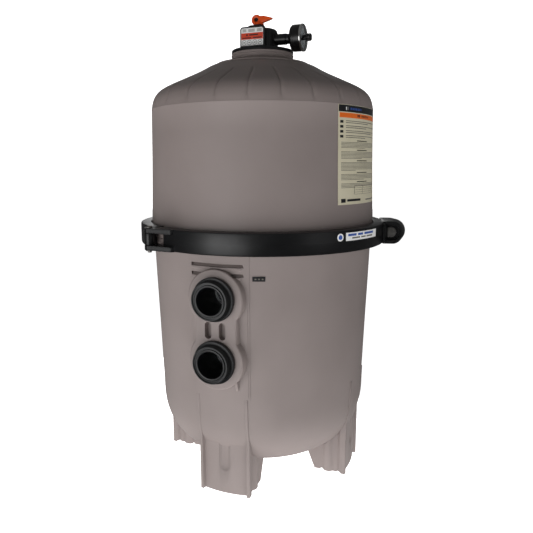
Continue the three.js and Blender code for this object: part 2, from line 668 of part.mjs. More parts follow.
function gaugeBezel() {
  const { caseRadius, caseTo, frontAt } = GAUGE;
  return onGauge(
    [[caseRadius - 3, caseTo + GAP], [caseRadius + 1, caseTo + GAP], [caseRadius + 1, frontAt - 2],
      [caseRadius - 1, frontAt], [caseRadius - 4, frontAt], [caseRadius - 4, frontAt - 1.5],
      [caseRadius - 3, frontAt - 1.5]],
    LARGE,
  );
}

const FACE_RADIUS = 29.2; // of the dial and the lens
const gaugeDial = () =>
  onGauge(ring(3, FACE_RADIUS, GAUGE.caseTo - 2.7, GAUGE.caseTo - 1.7), LARGE);
const NEEDLE_START = 225; // degrees round from the top, seen from the front of the gauge: the zero mark

// The needle on its arbor, pointing at the zero mark.
function gaugeNeedle() {
  const at = GAUGE.caseTo - 1.4;
  const arbor = onGauge(rod(2, GAUGE.caseTo - 10, at + 1), SMALL);
  const hub = onGauge(rod(4, at, at + 1.2), SMALL);
  const angle = radians(NEEDLE_START);
  const shape = new THREE.Shape(loop([[-1.2, -9], [1.2, -9], [1.6, 0], [0.4, 21], [-0.4, 21], [-1.6, 0]]));
  const blade = new THREE.ExtrudeGeometry(shape, { depth: 0.8, bevelEnabled: false });
  const up = new THREE.Vector3(0, Math.sin(angle), Math.cos(angle));
  const right = new THREE.Vector3(0, Math.cos(angle), -Math.sin(angle));
  const along = new THREE.Vector3().crossVectors(right, up);
  blade.applyMatrix4(new THREE.Matrix4().makeBasis(right, up, along));
  const placed = solid(blade);
  const { min, max } = placed.boundingBox();
  return join(arbor, hub, placed.translate([at + 0.2 - Math.min(min[0], max[0]), 0, GAUGE.z]));
}

const LENS_AT = GAUGE.frontAt - 3.6;
const gaugeLens = () => onGauge(ring(3, FACE_RADIUS, LENS_AT, LENS_AT + 1.8), LARGE);

// The knob in the middle of the lens, with the marker pointer that it turns behind the lens.
function gaugeKnob() {
  return onGauge(
    [[0, LENS_AT - 1.4], [7, LENS_AT - 1.4], [7, LENS_AT - GAP], [2.6, LENS_AT - GAP],
      [2.6, LENS_AT + 2.1], [6.5, LENS_AT + 2.1], [6.5, 120], [8.6, 121], [9.3, 122.5], [9.3, 130],
      [8, 132], [0, 132]],
    MEDIUM,
  );
}

const valveSeal = () => turnedUp(ring(54 + GAP, NECK.bore - GAP, 1080.5, 1086.5), LARGE);
const strainer = () =>
  cut(turnedUp(rod(12, 1000, 1070 - GAP), SMALL), turnedUp(rod(9, 1004, 1080), SMALL));

// ---- drain plug ---------------------------------------------------------------------------------
function drainPlug() {
  const seat = DRAIN.to - 12 + GAP;
  return join(
    onDrain(rod(DRAIN.bore - 0.6, DRAIN.from, seat + 8), MEDIUM),
    onDrain(rod(29, seat + 3.2, seat + 9), MEDIUM),
    onDrain(hexagon(34, seat + 8, seat + 20), 6),
  );
}
const drainSeal = () =>
  onDrain(ring(DRAIN.bore + GAP, 27, DRAIN.to - 12 + GAP, DRAIN.to - 12 + 3.1), MEDIUM);

// ---- labels and plates --------------------------------------------------------------------------
const FILM = 0.6; // thickness of the printed label

// The upper wall's outside radius at a height between the flange and the shoulder.
const upperWall = (z) =>
  z < 817
    ? THREE.MathUtils.mapLinear(z, PARTING_Z + FLANGE_THICK, 817, UPPER_RIM_RADIUS, 290.7)
    : THREE.MathUtils.mapLinear(z, 817, SHOULDER.z, 290.7, SHOULDER.radius);

function mainLabel() {
  const heights = [723, 817, 950];
  const inner = heights.map((z) => [upperWall(z) + GAP, z]);
  const outer = heights.map((z) => [upperWall(z) + GAP + FILM, z]).reverse();
  return both(turnedUp([...inner, ...outer], TANK_SIDES), sector(57.8, 95.7));
}

// A film around the clamp between two heights.
const clampFilm = (fromZ, toZ) =>
  turnedUp(ring(CLAMP.outer + GAP, CLAMP.outer + 0.8, fromZ, toZ), TANK_SIDES);
const clampSticker = () => both(clampFilm(643, 662), sector(57.4, 79.5));

function stickerDot() {
  const z = 652.5;
  const disc = turnedAlong(rod(9, 300, 340), MEDIUM, outward(54.4), new THREE.Vector3(0, 0, z));
  return both(clampFilm(z - 12, z + 12), disc);
}

function datePlate() {
  const radius = THREE.MathUtils.mapLinear(560, 511, 613, 287.5, 290.7);
  const film = turnedUp(ring(radius + GAP + 0.2, radius + 1.4, 554, 565), TANK_SIDES);
  return both(film, sector(16.9, 22.7));
}

const warningLabel = () => block([-40, -45.9, 1112], [19.7, -45 - GAP, 1154]);

// ---- the whole filter ---------------------------------------------------------------------------
piece("lower_tank", lowerTank(), TANK_PLASTIC);
piece("upper_tank", upperTank(), TANK_PLASTIC);
piece("tank_seal_ring", sealRing(), RUBBER);

piece("clamp_front", clampFront(), BLACK_PLASTIC);
piece("clamp_left_rear", clampLeftRear(), BLACK_PLASTIC);
piece("clamp_right_rear", clampRightRear(), BLACK_PLASTIC);
piece("clamp_hinge_pin_left", hingePin(LEFT_HINGE), STAINLESS);
piece("clamp_hinge_pin_rear", hingePin(REAR_HINGE), STAINLESS);
piece("clamp_hinge_clip_left", hingeClip(LEFT_HINGE), STAINLESS);
piece("clamp_hinge_clip_rear", hingeClip(REAR_HINGE), STAINLESS);
piece("clamp_bolt_washer", boltWasher(), STAINLESS);
piece("clamp_bolt", clampBolt(), STAINLESS);
piece("clamp_nut", clampNut(), STAINLESS);

for (const [name, z] of [["upper", PORTS.upperZ], ["lower", PORTS.lowerZ]]) {
  piece(name + "_port_fitting", portFitting(z), BLACK_PLASTIC);
  piece(name + "_port_gasket", portGasket(z), RUBBER);
  piece(name + "_port_lock_nut", portLockNut(z), BLACK_PLASTIC);
}
piece("drain_plug", drainPlug(), BLACK_PLASTIC);
piece("drain_seal", drainSeal(), RUBBER);

piece("valve_body", valveBody(), BLACK_PLASTIC);
piece("valve_seal_ring", valveSeal(), RUBBER);
piece("relief_handle", reliefHandle(), ORANGE_PLASTIC);
piece("relief_strainer", strainer(), GREY_PLASTIC);
piece("gauge_case", gaugeCase(), BLACK_PLASTIC);
piece("gauge_bezel", gaugeBezel(), STAINLESS);
piece("gauge_dial", gaugeDial(), WHITE_CARD);
piece("gauge_needle", gaugeNeedle(), BLACK_PLASTIC);
piece("gauge_lens", gaugeLens(), CLEAR_PLASTIC);
piece("gauge_knob", gaugeKnob(), BLACK_PLASTIC);

piece("inlet_diffuser", inletDiffuser(), GREY_PLASTIC);
piece("outlet_elbow", outletElbow(), GREY_PLASTIC);
piece("outlet_standpipe", standpipe(), GREY_PLASTIC);
piece("grid_collector", collector(), GREY_PLASTIC);
piece("grid_base", gridBase(), GREY_PLASTIC);
for (let i = 0; i < GRIDS.count; i++) piece("filter_grid_" + (i + 1), filterGrid(i), GRID_CLOTH);
piece("tie_rod", turnedUp(rod(TIE_ROD, 111, 965), SMALL), STAINLESS);
piece("tie_rod_washer", rodWasher(), STAINLESS);
piece("tie_rod_nut", rodNut(), STAINLESS);

piece("main_label", mainLabel(), LABEL_FILM);
piece("clamp_label", clampSticker(), WHITE_CARD);
piece("clamp_label_dot", stickerDot(), WHITE_CARD);
piece("date_plate", datePlate(), BLACK_PLASTIC);
piece("valve_label", warningLabel(), WHITE_CARD);

// Stand the middle of the whole filter's box over the origin.
const box = new THREE.Box3().setFromObject(assembly);
const middle = box.getCenter(new THREE.Vector3());
assembly.position.set(-middle.x, -middle.y, -box.min.z);

const filter = new THREE.Group();
filter.add(assembly);
export default filter;
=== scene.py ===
"""The looks of a vertical-grid pool filter tank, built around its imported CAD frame."""
import random
from math import cos, degrees, pi, radians, sin, sqrt

import bmesh
import bpy
from mathutils import Matrix, Vector


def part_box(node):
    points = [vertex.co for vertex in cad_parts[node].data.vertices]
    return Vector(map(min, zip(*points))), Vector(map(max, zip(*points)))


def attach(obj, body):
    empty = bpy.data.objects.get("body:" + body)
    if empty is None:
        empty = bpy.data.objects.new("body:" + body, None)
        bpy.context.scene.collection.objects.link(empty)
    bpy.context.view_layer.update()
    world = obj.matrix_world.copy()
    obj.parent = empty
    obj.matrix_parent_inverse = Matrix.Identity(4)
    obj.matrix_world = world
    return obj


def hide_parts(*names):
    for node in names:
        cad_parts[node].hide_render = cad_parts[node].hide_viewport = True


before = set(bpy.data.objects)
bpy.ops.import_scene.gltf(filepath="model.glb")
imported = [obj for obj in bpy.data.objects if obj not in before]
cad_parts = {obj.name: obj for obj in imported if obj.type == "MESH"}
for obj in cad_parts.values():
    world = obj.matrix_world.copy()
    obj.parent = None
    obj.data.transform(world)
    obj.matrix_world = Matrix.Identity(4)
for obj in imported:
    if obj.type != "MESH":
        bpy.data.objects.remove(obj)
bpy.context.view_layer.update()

# Shapes are worked out in millimetres about the tank's own upright axis, then placed in the row frame,
# which is in metres.
MM = 0.001
low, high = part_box("upper_tank")
TANK_AXIS = Vector(((low.x + high.x) / 2, (low.y + high.y) / 2, 0))
TO_ROW_FRAME = Matrix.Translation(TANK_AXIS) @ Matrix.Scale(MM, 4)
HERE = Matrix.Identity(4)
UP = Vector((0, 0, 1))


# ---- driving dimensions, as in the CAD part ------------------------------------------------------
GAP = 0.3
TANK_SIDES = 192
PARTING_Z = 642
FLANGE_RADIUS = 315
FLANGE_THICK = 14
WALL = 9
BOWL_RADIUS, BOWL_TOP, BOWL_DEPTH, BOWL_POWER = 277.3, 234, 196, 2.77
SHOULDER_Z = 952
NECK_TOP = 1096
UPPER_WALL_BEND = 817
UPPER_WALL = [(296, 656), (290.7, UPPER_WALL_BEND), (287.7, SHOULDER_Z)]
CLAMP_OUTER, CLAMP_LIP, CLAMP_WEB = 325, 298.5, 6
CLAMP_BOTTOM, CLAMP_TOP = 615.5, 668.5
LEFT_HINGE, REAR_HINGE, BOLTED_JOINT = -30.3, 216.7, 105
PIN_AT, PIN_RADIUS, KNUCKLE = 342, 5, 11.7
EAR_TIP, EAR_RISE, EAR_LENGTH, BOLT_AT, POCKET_DEPTH = 383, 31, 58, 341, 20
BOLT_FLATS = 24
UPPER_PORT_Z, LOWER_PORT_Z, BOSS_FACE, PORT_FACE = 511.3, 360.8, 302, 332
PORT_HEIGHTS = (UPPER_PORT_Z, LOWER_PORT_Z)
PORT_BORE, THREAD_RADIUS = 31.5, 45.7
DRAIN_AZIMUTH, DRAIN_Z = 225, 104
FOOT_AZIMUTHS = (0, 90, 180, 270)
GAUGE_Z = 1130
TOWER_X = -10
PLATE_FACE = 45


# ---- places --------------------------------------------------------------------------------------
def outward(azimuth):
    return Vector((sin(radians(azimuth)), -cos(radians(azimuth)), 0))


def along_rim(azimuth):
    return Vector((cos(radians(azimuth)), sin(radians(azimuth)), 0))


def at_rim(azimuth, out=0, along=0, height=0):
    """Local X runs out from the tank's axis, Y along the rim and Z up."""
    x, y = outward(azimuth), along_rim(azimuth)
    place = Matrix((x, y, UP)).transposed().to_4x4()
    place.translation = x * out + y * along + UP * height
    return place


def across_rim(azimuth):
    """Local X runs out from the tank's axis, Y up and Z back along the rim."""
    return Matrix((outward(azimuth), UP, -along_rim(azimuth))).transposed().to_4x4()


def axle(direction, at=(0, 0, 0)):
    """Local Z runs along the direction, through the point."""
    place = Vector(direction).to_track_quat("Z", "Y").to_matrix().to_4x4()
    place.translation = at
    return place


# ---- shapes --------------------------------------------------------------------------------------
def turned(outline, sides, place=HERE, start=0, sweep=360):
    """A turned form from [radius, height] pairs. A full turn's outline starts and ends on the axis or is a
    closed loop; a part turn's outline is closed, and its two ends are capped."""
    form = bmesh.new()
    corners = [form.verts.new((radius, 0, height)) for radius, height in outline]
    if sweep < 360:
        seed = [form.faces.new(corners)]
    else:
        seed = [form.edges.new(pair) for pair in zip(corners, corners[1:])]
        if outline[0][0] > 0:
            seed.append(form.edges.new((corners[-1], corners[0])))
    bmesh.ops.rotate(form, matrix=Matrix.Rotation(radians(start - 90), 3, "Z"), verts=corners)
    bmesh.ops.spin(form, geom=corners + seed, cent=(0, 0, 0), axis=(0, 0, 1), dvec=(0, 0, 0),
                   angle=radians(sweep), steps=sides, use_merge=sweep == 360, use_normal_flip=False,
                   use_duplicate=False)
    return closed(form, place)


def pulled(outline, start, end, place=HERE, taper=(1, 1), about=(0, 0)):
    """A flat outline in local X and Y, pulled along local Z and drawn in towards a point by the taper."""
    form = bmesh.new()
    face = form.faces.new([form.verts.new((x, y, start)) for x, y in outline])
    made = bmesh.ops.extrude_face_region(form, geom=[face])["geom"]
    tips = [v for v in made if isinstance(v, bmesh.types.BMVert)]
    bmesh.ops.translate(form, vec=(0, 0, end - start), verts=tips)
    middle = Matrix.Translation((-about[0], -about[1], 0))
    bmesh.ops.scale(form, vec=(*taper, 1), space=middle, verts=tips)
    return closed(form, place)


def closed(form, place=HERE):
    """The form with its doubles merged, its faces pointing out, and put in its place."""
    bmesh.ops.remove_doubles(form, verts=form.verts, dist=1e-4)
    bmesh.ops.recalc_face_normals(form, faces=form.faces)
    bmesh.ops.transform(form, matrix=place, verts=form.verts)
    return form


def rectangle(x0, y0, x1, y1):
    return [(x0, y0), (x1, y0), (x1, y1), (x0, y1)]


def rod(radius, start, end):
    """The outline of a plain round rod, to be turned."""
    return [(0, start), (radius, start), (radius, end), (0, end)]


def arc(centre, radius, start, end, steps):
    """Points on a circle between two angles in degrees."""
    turns = [radians(start + (end - start) * i / steps) for i in range(steps + 1)]
    return [(centre[0] + radius * cos(t), centre[1] + radius * sin(t)) for t in turns]


def circle(radius, steps, centre=(0, 0)):
    return arc(centre, radius, 0, 360, steps)[:-1]


def softened(form, width, segments=2, sharper_than=30, where=lambda edge: True):
    """The form with its sharp edges rounded."""
    edges = [e for e in form.edges
             if len(e.link_faces) == 2 and degrees(e.calc_face_angle(0)) > sharper_than and where(e)]
    bmesh.ops.bevel(form, geom=edges, offset=width, offset_type="OFFSET", segments=segments, profile=0.5,
                    affect="EDGES", material=-1, clamp_overlap=True)
    return form


def as_object(form, name="part"):
    mesh = bpy.data.meshes.new(name)
    form.to_mesh(mesh)
    form.free()
    obj = bpy.data.objects.new(name, mesh)
    bpy.context.scene.collection.objects.link(obj)
    return obj


def together(*forms):
    """Several closed forms as one."""
    whole = bmesh.new()
    for form in forms:
        mesh = bpy.data.meshes.new("part")
        form.to_mesh(mesh)
        form.free()
        whole.from_mesh(mesh)
        bpy.data.meshes.remove(mesh)
    return whole


def combined(operation, form, *tools):
    """The form with solid tools joined on (UNION), cut out (DIFFERENCE) or kept in common (INTERSECT)."""
    body, *others = [as_object(part) for part in (form, *tools)]
    for tool in others:
        step = body.modifiers.new("combine", "BOOLEAN")
        step.operation = operation
        step.solver = "EXACT"
        step.object = tool
    shaped = body.evaluated_get(bpy.context.evaluated_depsgraph_get())
    result = bmesh.new()
    result.from_mesh(shaped.to_mesh())
    for obj in (body, *others):
        mesh = obj.data
        bpy.data.objects.remove(obj)
        bpy.data.meshes.remove(mesh)
    return result


def painted(form, index):
    """The form with every face given that material of its piece."""
    for face in form.faces:
        face.material_index = index
    return form


def fitted(name, form, materials, body, slot, *replaced, smooth=32):
    """A finished piece: placed in the row frame, smoothed, given its materials and set riding on its body."""
    bmesh.ops.transform(form, matrix=TO_ROW_FRAME, verts=form.verts)
    piece = as_object(form, name)
    for material in materials if isinstance(materials, list) else [materials]:
        piece.data.materials.append(material)
    piece.data.shade_smooth()
    piece.data.set_sharp_from_angle(angle=radians(smooth))
    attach(piece, body)
    if replaced:
        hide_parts(*replaced)
    return piece


# ---- materials -----------------------------------------------------------------------------------
def linear(hex_colour):
    """A hex sRGB colour as linear RGBA."""
    parts = [int(hex_colour[i:i + 2], 16) / 255 for i in (0, 2, 4)]
    return (*[p / 12.92 if p <= 0.04045 else ((p + 0.055) / 1.055) ** 2.4 for p in parts], 1)


def add(tree, kind, inputs, **settings):
    """Adds a node with its settings, then its input values and links."""
    node = tree.nodes.new(kind)
    for name, value in settings.items():
        setattr(node, name, value)
    for name, value in inputs.items():
        if isinstance(value, bpy.types.NodeSocket):
            tree.links.new(value, node.inputs[name])
        else:
            node.inputs[name].default_value = value
    return node


def surface(name, light, dark, rough, grain_mm, grain_depth_mm, cloud_mm, speckle=0.25, **shader):
    """A material whose colour drifts between two tones over clouds of one size, with a fine grain of another
    that roughens the surface and stands up from it."""
    material = bpy.data.materials.new(name)
    material.use_nodes = True
    tree = material.node_tree
    tree.nodes.clear()
    where = add(tree, "ShaderNodeTexCoord", {}).outputs["Object"]

    def noise(size_mm, detail):
        scale = 1 / (size_mm * MM)
        return add(tree, "ShaderNodeTexNoise", {"Vector": where, "Scale": scale, "Detail": detail}).outputs[0]

    def spread(noise_value, start, end):
        """The middle stretch of the noise, drawn out over a range."""
        ends = {"Value": noise_value, "From Min": 0.3, "From Max": 0.7, "To Min": start, "To Max": end}
        return add(tree, "ShaderNodeMapRange", ends).outputs[0]

    clouds = noise(cloud_mm, 3)
    grain = noise(grain_mm, 2)
    drift = add(tree, "ShaderNodeMix", {0: speckle, 2: clouds, 3: grain}, data_type="FLOAT").outputs[0]
    tones = {0: spread(drift, 0, 1), 6: linear(dark), 7: linear(light)}
    tone = add(tree, "ShaderNodeMix", tones, data_type="RGBA").outputs[2]
    relief = {"Height": grain, "Distance": grain_depth_mm * MM, "Strength": 1}
    bump = add(tree, "ShaderNodeBump", relief).outputs[0]
    shading = add(tree, "ShaderNodeBsdfPrincipled", {
        "Base Color": tone, "Roughness": spread(drift, *rough), "Normal": bump, **shader}).outputs[0]
    add(tree, "ShaderNodeOutputMaterial", {"Surface": shading})
    return material


# Glass-filled polypropylene, injection moulded in a spark-eroded mould: an even, fine leathery grain that
# spreads the highlights wide, with a very faint drift of tone where the melt cooled at different speeds.
TANK_PLASTIC = surface("moulded_taupe_polypropylene", "8b807d", "847976", (0.48, 0.6), 1.6, 0.05, 140,
                       IOR=1.49)
# Glass-filled nylon, black, moulded: satin, with short fibres that give a slightly mottled sheen.
BLACK_PLASTIC = surface("moulded_black_nylon", "0e0f11", "09090b", (0.28, 0.42), 1.4, 0.05, 60, IOR=1.53)
# Moulded ABS of the pressure gauge and its knob: smoother and a little glossier than the nylon.
GAUGE_PLASTIC = surface("moulded_black_abs", "0f0f10", "0a0a0b", (0.25, 0.36), 1.2, 0.02, 40, IOR=1.54)
# Moulded grey ABS of the inner pipes, collector and base.
GREY_PLASTIC = surface("moulded_grey_abs", "bfc2c3", "aeb1b2", (0.4, 0.52), 1.6, 0.03, 90, IOR=1.54)
# Glossy acetal lever, moulded in orange.
LEVER_PLASTIC = surface("moulded_orange_acetal", "ef5a17", "dd470f", (0.22, 0.34), 1.2, 0.02, 30, IOR=1.48)
# Moulded nitrile rubber of the seals: dull and slightly dusty.
RUBBER = surface("moulded_nitrile_rubber", "1d1d1d", "111111", (0.7, 0.85), 1.2, 0.06, 25, IOR=1.52)
# Forged stainless steel, tumbled: a dull grey metal with a fine pickled grain.
STEEL = surface("tumbled_stainless_steel", "a19f9c", "827f7b", (0.34, 0.5), 0.9, 0.03, 12, Metallic=1)
# Drawn stainless steel of the gauge's ring, polished along the ring.
BRIGHT_STEEL = surface("polished_stainless_steel", "d6d6d4", "c2c2c0", (0.14, 0.24), 0.8, 0.005, 20,
                       Metallic=1)
# Heat-set polypropylene filter cloth: a plain weave, drawn at a coarse 1.8 mm so that it shows.
GRID_CLOTH = surface("woven_filter_cloth", "ebe8de", "d8d3c4", (0.82, 0.95), 1.8, 0.25, 60, speckle=0.5,
                     IOR=1.46)
# Printed vinyl label film, with its inks.
LABEL_CREAM = surface("vinyl_film_cream", "d3ccb3", "cbc4a9", (0.36, 0.46), 2.5, 0.01, 60, IOR=1.5)
LABEL_WHITE = surface("vinyl_film_white", "f1f1ef", "e7e7e6", (0.34, 0.44), 2.5, 0.01, 40, IOR=1.5)
INK_BLACK = surface("printed_black_ink", "1d1f22", "17181b", (0.3, 0.4), 2.5, 0.005, 30, IOR=1.5)
INK_GREY = surface("printed_grey_ink", "77746b", "6b6860", (0.34, 0.44), 2.5, 0.005, 30, IOR=1.5)
INK_ORANGE = surface("printed_orange_ink", "e8701f", "df6417", (0.3, 0.4), 2.5, 0.005, 30, IOR=1.5)
INK_RED = surface("printed_red_ink", "dd4a2c", "d34125", (0.3, 0.4), 2.5, 0.005, 30, IOR=1.5)
INK_BLUE = surface("printed_blue_ink", "3c5fae", "34539c", (0.3, 0.4), 2.5, 0.005, 30, IOR=1.5)
# Polycarbonate gauge window, moulded clear.
WINDOW = surface("clear_polycarbonate", "f4f8fa", "eef3f6", (0.02, 0.06), 3, 0.002, 30, IOR=1.58,
                 **{"Transmission Weight": 1})
PRINT = [LABEL_CREAM, LABEL_WHITE, INK_BLACK, INK_GREY, INK_ORANGE, INK_RED, INK_BLUE]
CREAM, WHITE, BLACK, GREY, ORANGE, RED, BLUE = range(7)


# ---- camera and light ----------------------------------------------------------------------------
def at_tank(x, y, z):
    return TANK_AXIS + Vector((x, y, z)) * MM


LOOK_DOWN = radians(10.27)
LOOK_ALONG = (-0.3615, 0.9324)

camera = bpy.data.objects.new("camera", bpy.data.cameras.new("camera"))
bpy.context.scene.collection.objects.link(camera)
camera.data.sensor_width = 36
camera.data.lens = 38.46
camera.location = at_tank(571.9, -1446.2, 818.3)
looking = Vector((LOOK_ALONG[0] * cos(LOOK_DOWN), LOOK_ALONG[1] * cos(LOOK_DOWN), -sin(LOOK_DOWN)))
camera.rotation_euler = looking.to_track_quat("-Z", "Y").to_euler()
bpy.context.scene.camera = camera


def softbox(name, azimuth, distance, height, size, power, aim=600):
    """A large soft light standing round the tank and turned towards it. Its place is in millimetres, its size
    in metres and its power in watts."""
    lamp = bpy.data.lights.new(name, "AREA")
    lamp.shape = "RECTANGLE"
    lamp.size, lamp.size_y = size
    lamp.energy = power
    obj = bpy.data.objects.new(name, lamp)
    obj.location = at_tank(*(outward(azimuth) * distance + UP * height))
    aimed = at_tank(0, 0, aim) - obj.location
    obj.rotation_euler = aimed.to_track_quat("-Z", "Y").to_euler()
    bpy.context.scene.collection.objects.link(obj)


softbox("key_softbox", -12, 2400, 300, (1.5, 1.7), 20, aim=350)
softbox("fill_softbox", 70, 2800, 700, (1.3, 1.9), 3)
softbox("back_softbox", 205, 3000, 1500, (2.0, 1.6), 10)

world = bpy.data.worlds.new("studio")
world.use_nodes = True
bpy.context.scene.world = world
sky = world.node_tree
sky.nodes.clear()
direction = add(sky, "ShaderNodeTexCoord", {}).outputs["Generated"]
height = add(sky, "ShaderNodeSeparateXYZ", {0: direction}).outputs[2]
bright = add(sky, "ShaderNodeMapRange", {
    "Value": height, "From Min": 0.0, "From Max": 0.7, "To Min": 0.08, "To Max": 0.15}).outputs[0]
glow = add(sky, "ShaderNodeBackground", {"Color": linear("ffffff"), "Strength": bright}).outputs[0]
add(sky, "ShaderNodeOutputWorld", {"Surface": glow})

SHEET_THICK = 30
STUDIO_SIDES = 96


def glowing(strength):
    """The shader inputs of a white glow."""
    return {"Emission Color": linear("ffffff"), "Emission Strength": strength}


def lit(name, radius, top, strength, centre=(0, 0)):
    """A round sheet of white floor that glows. It does not show in reflections."""
    disc = pulled(circle(radius, STUDIO_SIDES, centre), top - SHEET_THICK, top, TO_ROW_FRAME)
    sheet = as_object(disc, name)
    sheet.data.materials.append(surface(name, "c9c9c9", "c4c4c4", (0.7, 0.8), 4, 0.01, 900, IOR=1.45,
                                        **glowing(strength)))
    sheet.visible_glossy = False


lit("studio_floor", 12000, -0.5, 0.97)
lit("studio_table", 1000, 0, 2.1, (-380, -380))

# A glowing white wall far behind the tank, which only the camera sees.
WALL_AWAY = 9000
wall_section = rectangle(WALL_AWAY, 0, WALL_AWAY + SHEET_THICK, WALL_AWAY)
backdrop = as_object(turned(wall_section, STUDIO_SIDES, Matrix.Scale(MM, 4)), "studio_wall")
backdrop.data.materials.append(surface("lit_wall", "ffffff", "fafafa", (0.8, 0.9), 4, 0.01, 900,
                                       **glowing(1.2)))
for rays in ("diffuse", "glossy", "transmission", "shadow"):
    setattr(backdrop, f"visible_{rays}", False)
bpy.context.scene.view_settings.view_transform = "Standard"


# ---- the lower half of the tank ------------------------------------------------------------------
def bowl(inset, steps):
    """The rounded bottom's outline from the wall down to the axis, moved in by a wall thickness."""
    points = []
    for i in range(steps + 1):
        turn = i / steps * pi / 2
        out = (BOWL_RADIUS - inset) * max(cos(turn), 0) ** (2 / BOWL_POWER)
        down = (BOWL_DEPTH - inset) * sin(turn) ** (2 / BOWL_POWER)
        points.append((0 if i == steps else out, BOWL_TOP - down))
    return points


def foot(azimuth):
    """A hollow foot: a U in plan, open towards the axis, with ribbed side walls and a grooved outer web."""
    half, outer, web, wall = 68, 269.5, 260, 9

    def on(radius, along):
        return sqrt(radius ** 2 - along ** 2)

    side = [(on(outer, half), half), (248, half), (245, half - 1.5), (241, half - 5.5), (238, half - 6.5),
            (228, half - 6.5), (225, half - 5.5), (221, half - 1.5), (218, half), (207, half),
            (204, half - 1.5), (200, half - 5), (150, half - 5), (150, half - 15), (238, half - 15),
            (on(web - wall, 44), 44)]
    other_side = [(r, -a) for r, a in reversed(side)]
    web_inner = [(on(web - wall, a), a) for a in (25, 0, -25)]
    web_outer = [(on(web, a), a) for a in (-57, -45, -30, -15, 0, 15, 30, 45, 57)]
    edge = (on(outer, half - 8), half - 8)
    outline = [edge, *side, *web_inner, *other_side, (edge[0], -edge[1]), *web_outer]
    walls = softened(pulled(outline, 0, 192, at_rim(azimuth)), 1.2, 2)
    profile = pulled([(176, 0), (192, 0), (192, 4), (200, 4), (200, 0), (238, 0), (240, 4), (248, 4),
                      (250, 0), (275, 0), (275, 190), (148, 190), (148, 70)], -80, 80, across_rim(azimuth))
    groove = turned([(0, -30), *arc((0, 0), 30, -81, 0, 9), (30, 90), (0, 90)], 48,
                    at_rim(azimuth, 285, 0, 75))
    return combined("DIFFERENCE", combined("INTERSECT", walls, profile), groove)


def corner_flange(azimuth, side):
    """The upright rib at one outer corner of a foot, which runs on up the bowl and fades into the wall."""
    outline = [(246, 100), (261.6, 100), (261.6, 145), (264.7, 160), (268, 175), (270.2, 190), (271.5, 210),
               (271.8, 234), (272.6, 263), (246, 263)]
    inner, outer = sorted((side * 60, side * 68))
    return softened(pulled(outline, -outer, -inner, across_rim(azimuth)), 1.5, 2)


LOWER_WALL = [(291.3, 628), (287.5, 511), (283.5, 409), (280, 306)]


def lower_wall(height):
    """The lower wall's outside radius at a height."""
    for (r1, z1), (r0, z0) in zip(LOWER_WALL, LOWER_WALL[1:] + [(BOWL_RADIUS, BOWL_TOP)]):
        if height >= z0:
            return r0 + (r1 - r0) * (height - z0) / (z1 - z0)
    return BOWL_RADIUS


def raised_panel(proud, start, end, outline):
    """A shallow step on the lower wall, inside an outline seen from the front."""
    heights = [262, 306, 409, 511, 628]
    shell = [(lower_wall(z) + proud, z) for z in heights]
    shell += [(lower_wall(z) - 4, z) for z in reversed(heights)]
    strip = turned(shell, 24, start=start, sweep=end - start)
    return combined("INTERSECT", strip, pulled(outline, 200, 330, front_view()))


def front_view():
    """Local X runs right and Y up as seen from the ports' side, and Z comes forward."""
    return Matrix(((1, 0, 0), (0, 0, 1), (0, -1, 0))).transposed().to_4x4()


def port_place(height):
    return axle(outward(0), (0, 0, height))


DRAIN_PLACE = axle(outward(DRAIN_AZIMUTH), (0, 0, DRAIN_Z))


def port_plugs(radius, start, end):
    """Two round plugs in line with the two ports."""
    return [turned(rod(radius, start, end), 64, port_place(z)) for z in PORT_HEIGHTS]


def tank_slot(x):
    """One of the two upright slots between the ports."""
    outline = [*arc((x, 447), 8.5, 0, 180, 12), *arc((x, 423), 8.5, 180, 360, 12)]
    return pulled(outline, 286, 310, front_view())


LOUVRE_TOPS = (592, 570)


def louvre(top_edge):
    """The undercut above a louvre's bar, with a slanted right end."""
    wedge = [(280.6, top_edge), (302, top_edge), (302, top_edge - 7.5), (288.5, top_edge - 7.5)]
    ends = [(-67.5, top_edge - 20), (70, top_edge - 20), (63, top_edge + 1), (-67.5, top_edge + 1)]
    return combined("INTERSECT", turned(wedge, 20, start=-13.6, sweep=27.4),
                    pulled(ends, 200, 330, front_view()))


def louvre_bar(top_edge):
    """The raised bar below a louvre's undercut."""
    section = [(282, top_edge - 7.5), (292.6, top_edge - 7.5), (293.4, top_edge - 9),
               (293.4, top_edge - 12), (291, top_edge - 15), (282, top_edge - 15)]
    return turned(section, 20, start=-13.2, sweep=25)


def port_boss():
    """The round-ended block behind both ports, with a softened front edge."""
    outline = [*arc((0, UPPER_PORT_Z), 70, -40, 220, 40), *arc((0, LOWER_PORT_Z), 70, 140, 400, 40)]
    return softened(pulled(outline, 250, BOSS_FACE, front_view()), 4, 3,
                    where=lambda e: all(abs(v.co.y + BOSS_FACE) < 1 for v in e.verts))


